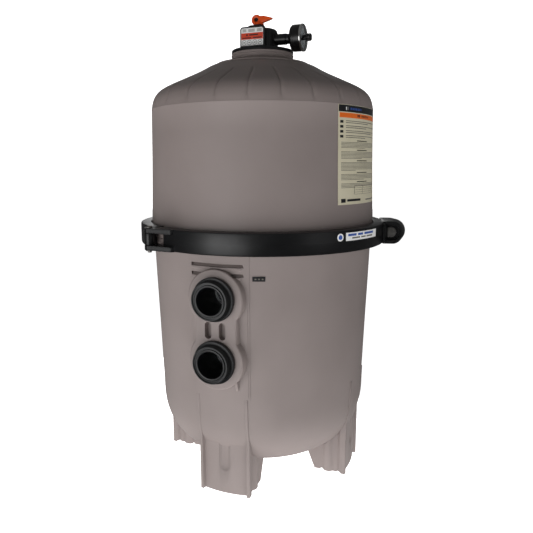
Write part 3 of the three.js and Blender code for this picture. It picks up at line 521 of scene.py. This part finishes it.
def make_lower_tank():
    top = PARTING_Z - GAP
    under = PARTING_Z - FLANGE_THICK
    outside = turned(
        [(0, top), (FLANGE_RADIUS - 1, top), (FLANGE_RADIUS, top - 1), (FLANGE_RADIUS, under + 1),
         (FLANGE_RADIUS - 1, under), (293.5, under), (291.8, under - 0.8), (291.2, under - 3),
         *LOWER_WALL[1:], *bowl(0, 36)], TANK_SIDES)
    inside = turned([(0, top + 5), (286.3, top + 5), (282.3, 600), *bowl(WALL, 20)], TANK_SIDES)
    seal_groove = turned([(296.5, 633.5), (305.5, 633.5), (305.5, top + 5), (296.5, top + 5)], TANK_SIDES)
    boss = port_boss()
    rib = pulled([(270, 286), (284, 286), (298, 310), (298, 330), (270, 330)], -3.5, 3.5, across_rim(9.2))
    drain_boss = softened(turned(rod(33, 205, 268), 64, DRAIN_PLACE), 2)
    panel = raised_panel(1.3, -15, 15.5, rectangle(-90, 262, 90, 626))
    arch = raised_panel(2.4, -14.6, 14.6, [(-72, 262), (72, 268), *arc((0, 500), 72, 0, 180, 24)])
    feet = [foot(azimuth) for azimuth in FOOT_AZIMUTHS]
    flanges = [corner_flange(azimuth, side) for azimuth in FOOT_AZIMUTHS for side in (-1, 1)]
    body = combined("UNION", outside, panel, arch, boss, softened(rib, 2), drain_boss, *feet, *flanges)
    seats = port_plugs(56, 262, 280)
    holes = port_plugs(38, 200, 320)
    drain_hole = turned(rod(20.3, 150, 300), 48, DRAIN_PLACE)
    body = combined("UNION", body, *[louvre_bar(top_edge) for top_edge in LOUVRE_TOPS])
    shell = combined("DIFFERENCE", body, inside, *[louvre(top_edge) for top_edge in LOUVRE_TOPS])
    shell = combined("UNION", shell, *seats)
    return combined("DIFFERENCE", shell, seal_groove, tank_slot(-18), tank_slot(18), drain_hole, *holes)


fitted("lower_tank_shell", make_lower_tank(), TANK_PLASTIC, "root", "tank_plastic", "lower_tank")


# ---- the upper half of the tank ------------------------------------------------------------------
def rounded_off(points, rounds):
    """A line of points with its corners cut back, so that it curves; its two ends stay."""
    for _ in range(rounds):
        cut_back = [points[0]]
        for (r0, z0), (r1, z1) in zip(points, points[1:]):
            for share in (0.25, 0.75):
                cut_back.append((r0 * (1 - share) + r1 * share, z0 * (1 - share) + z1 * share))
        points = [*cut_back, points[-1]]
    return points


FLUTES = 24
FLUTE_DEPTHS = (2.6, 0.9)
FLUTE_LOW, FLUTE_HIGH = 954, 1054
DOME_COLUMNS = 480


def cut_flutes(form):
    """Presses shallow radial grooves into the dome: one column of points, with a softer one on each side."""
    pitch = 360 / FLUTES
    column = 360 / DOME_COLUMNS
    for vert in form.verts:
        out = vert.co.xy.length
        in_flutes = FLUTE_LOW + 1 < vert.co.z < FLUTE_HIGH and out > 0.9 * (287 - (vert.co.z - SHOULDER_Z))
        azimuth = degrees(Vector((-vert.co.y, vert.co.x)).angle_signed(Vector((1, 0))))
        steps_away = round(abs((azimuth + pitch / 2) % pitch - pitch / 2) / column)
        if in_flutes and steps_away < len(FLUTE_DEPTHS) and is_outside(vert):
            fade = min(1, (vert.co.z - FLUTE_LOW) / 14, (FLUTE_HIGH - vert.co.z) / 22)
            vert.co -= vert.normal * (FLUTE_DEPTHS[steps_away] * fade)


def make_upper_tank():
    above = PARTING_Z + FLANGE_THICK
    shoulder = rounded_off([(287.7, 954), (285, 970), (278, 986), (262.5, 1001), (219.5, 1021),
                            (172.5, 1042), (142, 1059)], 3)
    outside = [
        (FLANGE_RADIUS - 1, PARTING_Z), (FLANGE_RADIUS, PARTING_Z + 1), (FLANGE_RADIUS, above - 1),
        (FLANGE_RADIUS - 1, above), (298.2, above), (296.4, above + 0.8), (295.9, above + 3), (293.2, 740),
        (290.7, UPPER_WALL_BEND), (289, 890), (287.8, 949.8), (288.3, 950.8), (288.3, 952.2),
        (287.7, 953.2), *shoulder, (135.5, 1062), (121.4, 1066.2), (120.6, 1068.8), (118.6, 1069.8),
        (95, 1073), (84, 1077), (80.5, 1080), (79.5, 1081), (80.7, 1081.8), (80.7, 1083), (79.5, 1083.8),
        (79.5, 1088.6), (80.7, 1089.4), (80.7, 1090.6), (79.5, 1091.4), (79.5, NECK_TOP - 0.8),
        (78.7, NECK_TOP)]
    inside = [(60, NECK_TOP), (60, 1063), (110, 1059), (168, 1033), (215, 1011), (255, 992), (270, 976),
              (278.7, SHOULDER_Z), (281.7, UPPER_WALL_BEND), (286.5, PARTING_Z)]
    form = turned([*outside, *inside], DOME_COLUMNS)
    cut_flutes(form)
    return form


def is_outside(vert):
    """True on the dome's outer skin, whose faces point up or out."""
    return vert.normal.dot(Vector((vert.co.x, vert.co.y, 0)).normalized() * 0.6 + UP * 0.8) > 0


fitted("upper_tank_shell", make_upper_tank(), TANK_PLASTIC, "root", "tank_plastic", "upper_tank")


# ---- the band clamp ------------------------------------------------------------------------------
CHANNEL_LOW = PARTING_Z - FLANGE_THICK - 0.4
CHANNEL_HIGH = PARTING_Z + FLANGE_THICK + 0.4


def band(start, end):
    """One run of the clamp's channel, with rounded edges and a fine mould line round its middle."""
    outer, lip, web = CLAMP_OUTER, CLAMP_LIP, CLAMP_OUTER - CLAMP_WEB
    face = outer - 0.1
    section = [
        (lip, CLAMP_BOTTOM + 1), (lip + 1, CLAMP_BOTTOM), (outer - 4, CLAMP_BOTTOM),
        (outer - 1.2, CLAMP_BOTTOM + 1.2), (face, CLAMP_BOTTOM + 4), (face, 640.2), (outer, 640.7),
        (outer, 641.3), (face, 641.8), (face, CLAMP_TOP - 4), (outer - 1.2, CLAMP_TOP - 1.2),
        (outer - 4, CLAMP_TOP), (lip + 1, CLAMP_TOP), (lip, CLAMP_TOP - 1), (lip, CHANNEL_HIGH),
        (web, CHANNEL_HIGH), (web, CHANNEL_LOW), (lip, CHANNEL_LOW)]
    return turned(section, round((end - start) / 1.5), start=start, sweep=end - start)


def knuckle(azimuth, side, plate, start, end):
    """A hinge knuckle with the plate that carries it, on one side of the pin."""
    outline = [(out, side * along) for out, along in plate]
    barrel = pulled(circle(KNUCKLE, 40, (PIN_AT, 0)), start, end, at_rim(azimuth))
    arm = pulled(outline, start, end, at_rim(azimuth))
    return [softened(barrel, 1.2, 2, 60), softened(arm, 1.2, 2, 60)]


def fork(azimuth, side):
    plate = [(354, 0), (325.5, 70), (312, 70), (300, 12), (331, 0)]
    return [*knuckle(azimuth, side, plate, CLAMP_BOTTOM, CHANNEL_LOW),
            *knuckle(azimuth, side, plate, CHANNEL_HIGH, CLAMP_TOP)]


def tongue(azimuth, side):
    plate = [(354, 0), (327, 62), (321, 62), (321, 9), (331, 0)]
    return knuckle(azimuth, side, plate, PARTING_Z - FLANGE_THICK, PARTING_Z + FLANGE_THICK)


def fork_window(azimuth, side):
    """The opening in the band beside the fork's pin, where the other segment's knuckle turns."""
    section = [(290, CHANNEL_LOW), (400, CHANNEL_LOW), (400, CHANNEL_HIGH), (290, CHANNEL_HIGH)]
    return turned(section, 6, start=min(azimuth, azimuth + side * 6), sweep=6)


def pin_hole(azimuth):
    return pulled(circle(PIN_RADIUS + GAP, 32, (PIN_AT, 0)), CLAMP_BOTTOM - 5, CLAMP_TOP + 5, at_rim(azimuth))


BOLT_PLACE = axle(along_rim(BOLTED_JOINT), outward(BOLTED_JOINT) * BOLT_AT + UP * PARTING_Z)


def on_bolt(outline, sides=48):
    return turned(outline, sides, BOLT_PLACE)


def hexagon(flats):
    return circle(flats / sqrt(3), 6)


def ear(side):
    """One ear of the bolted joint, drawn in towards its open end, with a round-ended pocket for the bolt."""
    root = 318
    near, far = -side * 0.5, -side * EAR_LENGTH
    centre = EAR_TIP - EAR_RISE
    outline = [(root, PARTING_Z - EAR_RISE), *arc((centre, PARTING_Z), EAR_RISE, -90, 90, 28),
               (root, PARTING_Z + EAR_RISE)]
    body = pulled(outline, near, far, across_rim(BOLTED_JOINT), taper=(0.8, 0.93), about=(root, PARTING_Z))
    body = softened(body, 3, 3, 50)
    pocket_outline = [(331, PARTING_Z - 20), *arc((344, PARTING_Z), 20, -90, 90, 24), (331, PARTING_Z + 20)]
    pocket = pulled(pocket_outline, -side * (EAR_LENGTH - POCKET_DEPTH), -side * (EAR_LENGTH + 5),
                    across_rim(BOLTED_JOINT))
    run_in = [(root, 40), (332, 56), (329.5, 60), (326.4, 64), (324, 70), (root, 70)]
    fillet = pulled([(out, side * along) for out, along in run_in], CLAMP_BOTTOM + 3, CLAMP_TOP - 3,
                    at_rim(BOLTED_JOINT))
    return body, pocket, fillet


def make_clamp_front():
    body, pocket, fillet = ear(-1)
    run = combined("DIFFERENCE", band(LEFT_HINGE + 1.6, BOLTED_JOINT - 0.1), fork_window(LEFT_HINGE, 1))
    run = combined("UNION", run, *fork(LEFT_HINGE, 1), body, fillet)
    return combined("DIFFERENCE", run, pocket, pin_hole(LEFT_HINGE), on_bolt(rod(7, -60, 5)))


def make_clamp_left_rear():
    run = band(REAR_HINGE + 1.6, LEFT_HINGE + 360 - 1.6)
    run = combined("UNION", run, *tongue(LEFT_HINGE, -1), *tongue(REAR_HINGE, 1))
    return combined("DIFFERENCE", run, pin_hole(LEFT_HINGE), pin_hole(REAR_HINGE))


def make_clamp_right_rear():
    body, pocket, fillet = ear(1)
    run = combined("DIFFERENCE", band(BOLTED_JOINT + 0.1, REAR_HINGE - 1.6), fork_window(REAR_HINGE, -1))
    run = combined("UNION", run, *fork(REAR_HINGE, -1), body, fillet)
    nut_seat = pulled(hexagon(BOLT_FLATS + 2 * GAP), 5, 24.6, BOLT_PLACE)
    return combined("DIFFERENCE", run, pocket, pin_hole(REAR_HINGE), on_bolt(rod(14.5, -5, 11)), nut_seat,
                    on_bolt(rod(7, 5, 60)))


fitted("clamp_front_band", make_clamp_front(), BLACK_PLASTIC, "clamp_front_segment", "black_plastic",
       "clamp_front")
fitted("clamp_left_band", make_clamp_left_rear(), BLACK_PLASTIC, "root", "black_plastic", "clamp_left_rear")
fitted("clamp_rear_band", make_clamp_right_rear(), BLACK_PLASTIC, "clamp_right_rear_segment",
       "black_plastic", "clamp_right_rear")


def on_pin(azimuth, outline):
    return turned(outline, 32, at_rim(azimuth, PIN_AT))


for side_name, azimuth in (("left", LEFT_HINGE), ("rear", REAR_HINGE)):
    top, bottom = CLAMP_TOP + GAP, CLAMP_BOTTOM - 6
    pin = on_pin(azimuth, [(0, bottom), (4.2, bottom), (5, bottom + 1), (5, top), (8.2, top),
                           (8.5, top + 0.4), (8.5, top + 1.8), (7.6, top + 3.1), (5.4, top + 4.1),
                           (2.6, top + 4.4), (0, top + 4.4)])
    fitted(f"hinge_pin_{side_name}", pin, STEEL, "root", "stainless", f"clamp_hinge_pin_{side_name}")
    clip_top = CLAMP_BOTTOM - GAP
    clip = softened(on_pin(azimuth, rectangle(5.3, clip_top - 1.8, 9, clip_top)), 0.4)
    fitted(f"hinge_clip_{side_name}", clip, STEEL, "root", "stainless", f"clamp_hinge_clip_{side_name}")

WASHER_THICK = 2.5
HEAD_FACE = -(EAR_LENGTH - POCKET_DEPTH) - WASHER_THICK - 2 * GAP
washer_section = rectangle(6.5, HEAD_FACE + GAP, 14, HEAD_FACE + WASHER_THICK + GAP)
fitted("bolt_washer", softened(on_bolt(washer_section), 0.4), STEEL, "clamp_bolt_carriage", "stainless",
       "clamp_bolt_washer")


def chamfered_hexagon(flats, start, end, both_ends=False):
    """A hexagon on the bolt's line, whose corners are turned off at its start or at both ends."""
    corner = flats / sqrt(3) + 0.5
    trim = 0.6 * (corner - flats / 2)
    end_trim = trim if both_ends else 0
    outline = [(0, start), (corner - trim, start), (corner, start + trim * 0.6),
               (corner, end - end_trim * 0.6), (corner - end_trim, end), (0, end)]
    return combined("INTERSECT", pulled(hexagon(flats), start - 1, end + 1, BOLT_PLACE), on_bolt(outline))


def threaded(radius, depth, pitch, start, end):
    """The outline of a rod with thread ridges along it."""
    points = [(0, start)]
    turns = int((end - start) / pitch)
    for i in range(turns):
        base = start + i * pitch
        points += [(radius - depth, base), (radius, base + pitch * 0.4), (radius, base + pitch * 0.6)]
    return [*points, (radius - depth, start + turns * pitch), (radius - depth, end), (0, end)]


bolt = together(chamfered_hexagon(BOLT_FLATS, HEAD_FACE - 9, HEAD_FACE),
                on_bolt(rod(5.9, HEAD_FACE - 1, -20)), on_bolt(threaded(6, 0.7, 1.75, -20.5, 10.5), 32))
fitted("bolt_screw", bolt, STEEL, "clamp_bolt_screw", "stainless", "clamp_bolt")
nut = combined("DIFFERENCE", chamfered_hexagon(BOLT_FLATS, 11.3, 24.3, both_ends=True),
               on_bolt(rod(6.2, 0, 40)))
fitted("bolt_nut", nut, STEEL, "clamp_right_rear_segment", "stainless", "clamp_nut")


# ---- side ports ----------------------------------------------------------------------------------
def make_port_fitting(z):
    collar, face = BOSS_FACE + 3.3, PORT_FACE
    outline = [(PORT_BORE, 235), (37, 235), (37, collar), (51, collar), (52, collar + 1), (52, collar + 6.6),
               (50.6, collar + 8.2), (46.6, collar + 8.8), (44.6, collar + 10.2)]
    root, pitch = 44.5, 3.1
    for i in range(5):
        base = collar + 10.8 + i * pitch
        outline += [(root, base), (THREAD_RADIUS, base + 0.9), (THREAD_RADIUS, base + 1.5),
                    (root, base + 2.5)]
    outline += [(root, face - 0.5), (44, face), (42.3, face), (41.8, face - 3), (38.2, face - 3),
                (37.6, face - 0.4), (36.8, face), (PORT_BORE + 2.6, face), (PORT_BORE + 0.9, face - 0.6),
                (PORT_BORE, face - 2.4)]
    return turned(outline, 128, port_place(z))


for level, z in zip(("upper", "lower"), PORT_HEIGHTS):
    fitted(f"{level}_port", make_port_fitting(z), BLACK_PLASTIC, "root", "black_plastic",
           f"{level}_port_fitting")
    ring = [(38, BOSS_FACE + GAP), (50.6, BOSS_FACE + GAP), (51, BOSS_FACE + 1), (51, BOSS_FACE + 2.4),
            (50.6, BOSS_FACE + 3), (38, BOSS_FACE + 3)]
    fitted(f"{level}_port_ring", turned(ring, 96, port_place(z)), RUBBER, "root", "rubber",
           f"{level}_port_gasket")


# ---- drain plug ----------------------------------------------------------------------------------
DRAIN_SEAT = 268.3
drain_plug = together(
    turned([(0, 205), (18.4, 205), (19.4, 206.5), (19.4, 276.3), (0, 276.3)], 64, DRAIN_PLACE),
    turned([(0, DRAIN_SEAT + 3.2), (28, DRAIN_SEAT + 3.2), (29, DRAIN_SEAT + 4.2), (29, DRAIN_SEAT + 7.6),
            (27.6, DRAIN_SEAT + 9), (0, DRAIN_SEAT + 9)], 64, DRAIN_PLACE),
    softened(pulled(hexagon(34), DRAIN_SEAT + 8, DRAIN_SEAT + 20, DRAIN_PLACE), 1.6, 3))
fitted("drain_screw_plug", drain_plug, BLACK_PLASTIC, "drain_plug_screw", "black_plastic", "drain_plug")
drain_ring = [(20.3, DRAIN_SEAT), (26.6, DRAIN_SEAT), (27, DRAIN_SEAT + 0.5), (27, DRAIN_SEAT + 2.3),
              (26.6, DRAIN_SEAT + 2.8), (20.3, DRAIN_SEAT + 2.8)]
fitted("drain_ring", turned(drain_ring, 64, DRAIN_PLACE), RUBBER, "drain_seal_carriage", "rubber",
       "drain_seal")


# ---- air relief valve, its handle and the pressure gauge -----------------------------------------
def ribbed(inner, outer, ribs):
    """A round outline with upright ribs standing on it."""
    points = []
    for i in range(ribs):
        for share, radius in ((0, inner), (0.5, inner), (0.6, outer), (0.9, outer)):
            turn = 2 * pi * (i + share) / ribs
            points.append((radius * cos(turn), radius * sin(turn)))
    return points


GAUGE_VIEW = Matrix(((0, 1, 0), (0, 0, 1), (1, 0, 0))).transposed().to_4x4()
GAUGE_VIEW.translation = (0, 0, GAUGE_Z)
TOWER = Matrix.Translation((TOWER_X, 0, 0))


def on_gauge(outline, sides=64):
    return turned(outline, sides, GAUGE_VIEW)


def make_valve_body():
    flange, base = 80, NECK_TOP + GAP
    lower = turned([(0, 1070), (55, 1070), (57, 1073), (57, 1080), (54, 1080), (54, 1087), (59.7, 1087),
                    (59.7, base), (flange - 1, base), (flange, base + 1), (flange, 1102.2),
                    (flange - 0.8, 1103.6), (flange - 2.4, 1104), (0, 1104)], 128)
    dome = turned([(0, 1100), (39, 1100), (39, 1148), (38.2, 1152), (35.6, 1155), (31, 1156.6), (26, 1157),
                   (0, 1157)], 96)
    ribs = pulled(ribbed(38.6, 40, 36), 1102, 1147)
    tower = turned([(0, 1130), (19, 1130), (18, 1157), (17, 1163), (15.4, 1167), (13.6, 1169), (0, 1169)],
                   64, TOWER)
    shoulder_outline = [(-34, 1104), (18, 1104), (18, 1148), (6, 1162), (-22, 1162), (-34, 1148)]
    shoulder = softened(pulled(shoulder_outline, 0, 40, front_view()), 2.5, 3)
    plate_outline = [(-43.5, 1103), (23.2, 1103), *arc((15.2, 1149.5), 8, 0, 90, 8),
                     *arc((-35.5, 1149.5), 8, 90, 180, 8)]
    plate = softened(pulled(plate_outline, 36, PLATE_FACE - 0.6, front_view()), 1.2, 2)
    recess = [(-40.6, 1105), (20.3, 1105), *arc((14.2, 1148.6), 6, 0, 90, 6),
              *arc((-34.6, 1148.6), 6, 90, 180, 6)]
    rim = combined("DIFFERENCE", pulled(plate_outline, PLATE_FACE - 1, PLATE_FACE, front_view()),
                   pulled(recess, PLATE_FACE - 2, PLATE_FACE + 1, front_view()))
    stub = on_gauge([(0, 30), (13.6, 30), (13.6, 66), (12.4, 67.4), (12.4, 75), (0, 75)])
    whole = combined("UNION", lower, dome, ribs, tower, shoulder, plate, rim, stub)
    return combined("DIFFERENCE", whole, turned(rod(5.3, 1100, 1174), 32, TOWER),
                    turned(rod(6, 1060, 1112), 32), on_gauge(rod(6.8, 0, 80), 32))


fitted("relief_valve_body", make_valve_body(), BLACK_PLASTIC, "root", "black_plastic", "valve_body")


def make_relief_handle():
    """A loop that tapers to a tip, its eye closed by a thin black disc that is painted shade, standing on a
    round hub with its stem below.
    """
    loop = [(27.4, 1181.6), (27.4, 1184.4), (5, 1190.8), *arc((-15.5, 1181.6), 13.2, 44, 316, 36),
            (5, 1175.2)]
    blade = softened(pulled(loop, -5.5, 5.5, front_view()), 2.2, 3, 40)

    def oval(share):
        return [(-16 + 6.2 * share * x, 1182.4 + 5.4 * share * z) for x, z in circle(1, 24)]

    blade = softened(combined("DIFFERENCE", blade, pulled(oval(1), -8, 8, front_view())), 0.8, 2, 60)
    hub = turned([(0, 1120), (5, 1120), (5, 1169.3), (12.4, 1169.3), (13, 1169.9), (13, 1172.6), (12, 1174.2),
                  (9, 1177), (0, 1177)], 48, TOWER)
    # Painted shade: the thin black disc in the loop's eye stands in for the shade inside the eye.
    web = painted(pulled(oval(0.98), -0.8, 0.8, front_view()), 1)
    return together(combined("UNION", blade, hub), web)


fitted("relief_lever", make_relief_handle(), [LEVER_PLASTIC, BLACK_PLASTIC], "relief_handle_body",
       "orange_plastic", "relief_handle")

case = on_gauge([(0, 50), (6, 50), (6, 75.3), (9, 75.3), (9, 81), (25, 81), (29.4, 82), (31.8, 84.6),
                 (32.5, 88), (32.5, 106.9), (31.9, 107.5), (29.5, 107.5), (29.5, 104.5), (2.4, 104.5),
                 (2.4, 95.5), (0, 95.5)], 96)
fitted("gauge_shell", case, GAUGE_PLASTIC, "root", "black_plastic", "gauge_case")
bezel = on_gauge([(29.5, 107.8), (33.1, 107.8), (33.5, 108.4), (33.5, 111), (32.9, 112.4), (31.6, 113),
                  (28.8, 113), (28.5, 112.4), (28.5, 111.5), (29.5, 111.5)], 96)
fitted("gauge_ring", bezel, BRIGHT_STEEL, "root", "stainless", "gauge_bezel")
DIAL_BACK, DIAL_FACE, SCALE_RADIUS = 104.8, 105.8, 26
dial = on_gauge(rectangle(3, DIAL_BACK, 29.2, DIAL_FACE), 96)
fitted("gauge_card", dial, LABEL_WHITE, "root", "white_card", "gauge_dial")
lens = on_gauge([(3, 109.4), (29.2, 109.4), (29.2, 110.8), (28.6, 111.2), (3, 111.2)], 96)
fitted("gauge_window", lens, WINDOW, "root", "clear_plastic", "gauge_lens")


def dial_number(value, radius, turn, size):
    """A number on the dial, standing upright at its place on the scale."""
    letters = bpy.data.curves.new("number", "FONT")
    letters.body = str(value)
    letters.size = size
    letters.extrude = 0.05
    letters.align_x = letters.align_y = "CENTER"
    obj = bpy.data.objects.new("number", letters)
    bpy.context.scene.collection.objects.link(obj)
    form = bmesh.new()
    form.from_mesh(obj.evaluated_get(bpy.context.evaluated_depsgraph_get()).to_mesh())
    bpy.data.objects.remove(obj)
    place = GAUGE_VIEW @ Matrix.Translation((radius * sin(turn), radius * cos(turn), DIAL_FACE + 0.05))
    bmesh.ops.transform(form, matrix=place, verts=form.verts)
    return form


def make_dial_scale():
    """A scale from 0 to 60 round three quarters of the dial, with a number at every tenth."""
    steps, steps_per_number = 30, 5
    marks = []
    for step in range(steps + 1):
        turn = radians(225 + 270 * step / steps)
        long_mark = step % steps_per_number == 0
        inner = 21.4 if long_mark else 23.4
        half = 0.45 if long_mark else 0.22
        mark = pulled(rectangle(-half, inner, half, SCALE_RADIUS), DIAL_FACE + 0.02, DIAL_FACE + 0.12,
                      GAUGE_VIEW @ Matrix.Rotation(-turn, 4, "Z"))
        marks.append(mark)
        if long_mark:
            marks.append(dial_number(step * 2, 17.2, turn, 5))
    return together(*marks)


fitted("gauge_scale", make_dial_scale(), INK_BLACK, "root", "white_card")
knob_turning = on_gauge([(0, 108), (7, 108), (7, 109.1), (2.6, 109.1), (2.6, 111.5), (6.5, 111.5),
                         (6.5, 120), (8.4, 121), (8.8, 122.4), (8.8, 130), (7.8, 131.6), (6.4, 132),
                         (0, 132)])
knob_grip = softened(pulled(ribbed(8.5, 9.3, 14), 122, 130.4, GAUGE_VIEW), 0.3, 1, 60)
knob = combined("UNION", knob_turning, knob_grip)
fitted("gauge_reset_knob", knob, GAUGE_PLASTIC, "gauge_knob_body", "black_plastic", "gauge_knob")


# ---- labels and plates ---------------------------------------------------------------------------
INK_THICK = 0.1
PRINT_LIFT = 0.55


def upper_wall(height):
    """The upper wall's outside radius at a height."""
    (r0, z0), (r1, z1) = UPPER_WALL[:2] if height < UPPER_WALL_BEND else UPPER_WALL[1:]
    return r0 + (r1 - r0) * (height - z0) / (z1 - z0)


def film(start, end, bottom, top, radius_at, ink, lift=GAP, thick=0.6):
    """A patch of label film or ink round the tank, between two azimuths and two heights."""
    heights = [bottom, UPPER_WALL_BEND, top] if bottom < UPPER_WALL_BEND < top else [bottom, top]
    back = [(radius_at(h) + lift, h) for h in heights]
    face = [(radius + thick, h) for radius, h in reversed(back)]
    steps = max(1, round((end - start) / 1.5))
    return painted(turned([*back, *face], steps, start=start, sweep=end - start), ink)


def make_main_label():
    """A cream instruction label: a dark head, an orange band, rows of plain bars for its text, and a small
    table."""
    left, right, bottom, top = 57.8, 95.7, 723, 950
    width = right - left
    lines = random.Random(7)

    def bar(u0, u1, z0, z1, ink):
        return film(left + width * u0, left + width * u1, z0, z1, upper_wall, ink, lift=GAP + PRINT_LIFT,
                    thick=INK_THICK)

    parts = [film(left, right, bottom, top, upper_wall, CREAM), bar(0.005, 0.995, 934, 949.3, BLACK),
             bar(0.13, 0.17, 938, 945, WHITE), bar(0.2, 0.46, 939, 944, BLUE),
             bar(0.02, 0.98, 921, 932, ORANGE), bar(0.36, 0.42, 924, 930, BLACK),
             bar(0.45, 0.68, 924.5, 929.5, BLACK)]
    height = 915
    for row in range(4):
        parts.append(bar(0.03, 0.085, height - 6, height, BLACK))
        for line in range(2):
            end = 0.55 + 0.4 * lines.random() if line else 0.95
            parts.append(bar(0.13, end, height - 1.7 - line * 4, height - line * 4, GREY))
        height -= 11
    for paragraph in (5, 6, 7, 5, 4):
        parts.append(bar(0.36, 0.64, height - 2, height, BLACK))
        height -= 4.4
        for line in range(paragraph):
            end = 0.95 if line < paragraph - 1 else 0.3 + 0.5 * lines.random()
            parts.append(bar(0.05, end, height - 1.2, height, GREY))
            height -= 3
        height -= 2
    for i in range(5):
        parts.append(bar(0.3, 0.95, 746 + i * 5, 746.5 + i * 5, BLACK))
    for u in (0.3, 0.5, 0.8, 0.944):
        parts.append(bar(u, u + 0.006, 746, 766, BLACK))
    parts += [bar(0.05, 0.13, 728, 737, BLACK), bar(0.16, 0.45, 730, 735.5, BLACK),
              bar(0.6, 0.93, 730, 733, GREY)]
    return together(*parts)


fitted("instruction_label", make_main_label(), PRINT, "root", "label_film", "main_label")


def at_clamp(height):
    """The clamp's outside radius, the same at every height."""
    return CLAMP_OUTER


def make_clamp_sticker():
    """A white sticker with two rows of plain bars standing for its text."""
    ink_lift = 0.75
    parts = [film(57.4, 79.5, 643, 662, at_clamp, WHITE, thick=0.5)]
    start = 58.6
    for width in (3.1, 2.2, 4.6):
        end = start + width * 1.6
        parts.append(film(start, end, 653.6, 659, at_clamp, BLUE, lift=ink_lift, thick=INK_THICK))
        start += width * 1.6 + 1
    for start, end in ((61, 66), (66.8, 70), (70.8, 75.8)):
        parts.append(film(start, end, 647.2, 650.8, at_clamp, GREY, lift=ink_lift, thick=INK_THICK))
    return together(*parts)


fitted("clamp_sticker", make_clamp_sticker(), PRINT, "clamp_front_segment", "label_film", "clamp_label")


def disc_on_clamp(radius, lift, thick, ink):
    shell = film(51, 58, 640.5, 664.5, at_clamp, ink, lift=lift, thick=thick)
    punch = pulled(circle(radius, 40, (0, 0)), 300, 340, axle(outward(54.4), (0, 0, 652.5)))
    return painted(combined("INTERSECT", shell, punch), ink)


round_sticker = together(disc_on_clamp(9, GAP, 0.5, WHITE), disc_on_clamp(5.5, 0.75, INK_THICK, BLUE))
fitted("clamp_round_sticker", round_sticker, PRINT, "clamp_front_segment", "label_film", "clamp_label_dot")


def at_plate(height):
    return lower_wall(height) + 0.2


plate_bars = [film(start, start + 0.8, 558, 561, at_plate, GREY, lift=1.15, thick=INK_THICK)
              for start in (17.9, 19.5, 21.1)]
plate = together(film(16.9, 22.7, 554, 565, at_plate, BLACK, thick=0.9), *plate_bars)
fitted("wall_plate", plate, PRINT, "root", "black_plastic", "date_plate")


def flat_print(x0, x1, z0, z1, ink, lift=PRINT_LIFT):
    """A plain bar of ink on the valve's flat label."""
    back = PLATE_FACE + lift
    return painted(pulled(rectangle(x0, z0, x1, z1), back, back + INK_THICK, front_view()), ink)


def ring_print(x, z, radius):
    """A thin printed ring on the valve's flat label."""
    back = PLATE_FACE + PRINT_LIFT
    outer = pulled(circle(radius, 28, (x, z)), back, back + INK_THICK, front_view())
    inner = pulled(circle(radius - 0.8, 28, (x, z)), PLATE_FACE, PLATE_FACE + 1, front_view())
    return painted(combined("DIFFERENCE", outer, inner), BLACK)


def make_valve_label():
    """A white label with a red band; its pictograms are plain rings and bars."""
    base = [(-40, 1112), (19.7, 1112), *arc((14.7, 1149), 5, 0, 90, 6), *arc((-35, 1149), 5, 90, 180, 6)]
    back, film_thick, on_band = PLATE_FACE + GAP, 0.3, 0.66
    parts = [painted(pulled(base, back, back + film_thick, front_view()), WHITE),
             flat_print(-39.6, 19.3, 1126.5, 1142, RED)]
    for x0, x1 in ((-36, -26), (-20, -3), (3, 16)):
        parts += [flat_print(x0, x1, 1145 + 2.4 * i, 1146.2 + 2.4 * i, GREY) for i in range(3)]
    parts += [flat_print(-26, -22, 1135, 1139, BLACK, on_band),
              flat_print(-18, 6, 1135.5, 1138.5, BLACK, on_band),
              flat_print(-37, -13, 1129, 1131.5, BLACK, on_band),
              flat_print(-8, 16, 1129, 1131.5, BLACK, on_band)]
    for x in (-32, -17.5, -3, 11.5):
        parts += [ring_print(x, 1119.2, 6), flat_print(x - 2.6, x + 2.6, 1118.2, 1120.2, GREY)]
    return together(*parts)


fitted("valve_notice", make_valve_label(), PRINT, "root", "label_film", "valve_label")


# ---- carried-over CAD nodes ----------------------------------------------------------------------
CARRIED_OVER = {
    RUBBER: ["tank_seal_ring", "valve_seal_ring"],
    BLACK_PLASTIC: ["upper_port_lock_nut", "lower_port_lock_nut"],
    GAUGE_PLASTIC: ["gauge_needle"],
    GREY_PLASTIC: ["relief_strainer", "inlet_diffuser", "outlet_elbow", "outlet_standpipe", "grid_collector",
                   "grid_base"],
    GRID_CLOTH: [f"filter_grid_{i}" for i in range(1, 9)],
    STEEL: ["tie_rod", "tie_rod_washer", "tie_rod_nut"],
}
for finish, names in CARRIED_OVER.items():
    for name in names:
        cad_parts[name].material_slots[0].material = finish
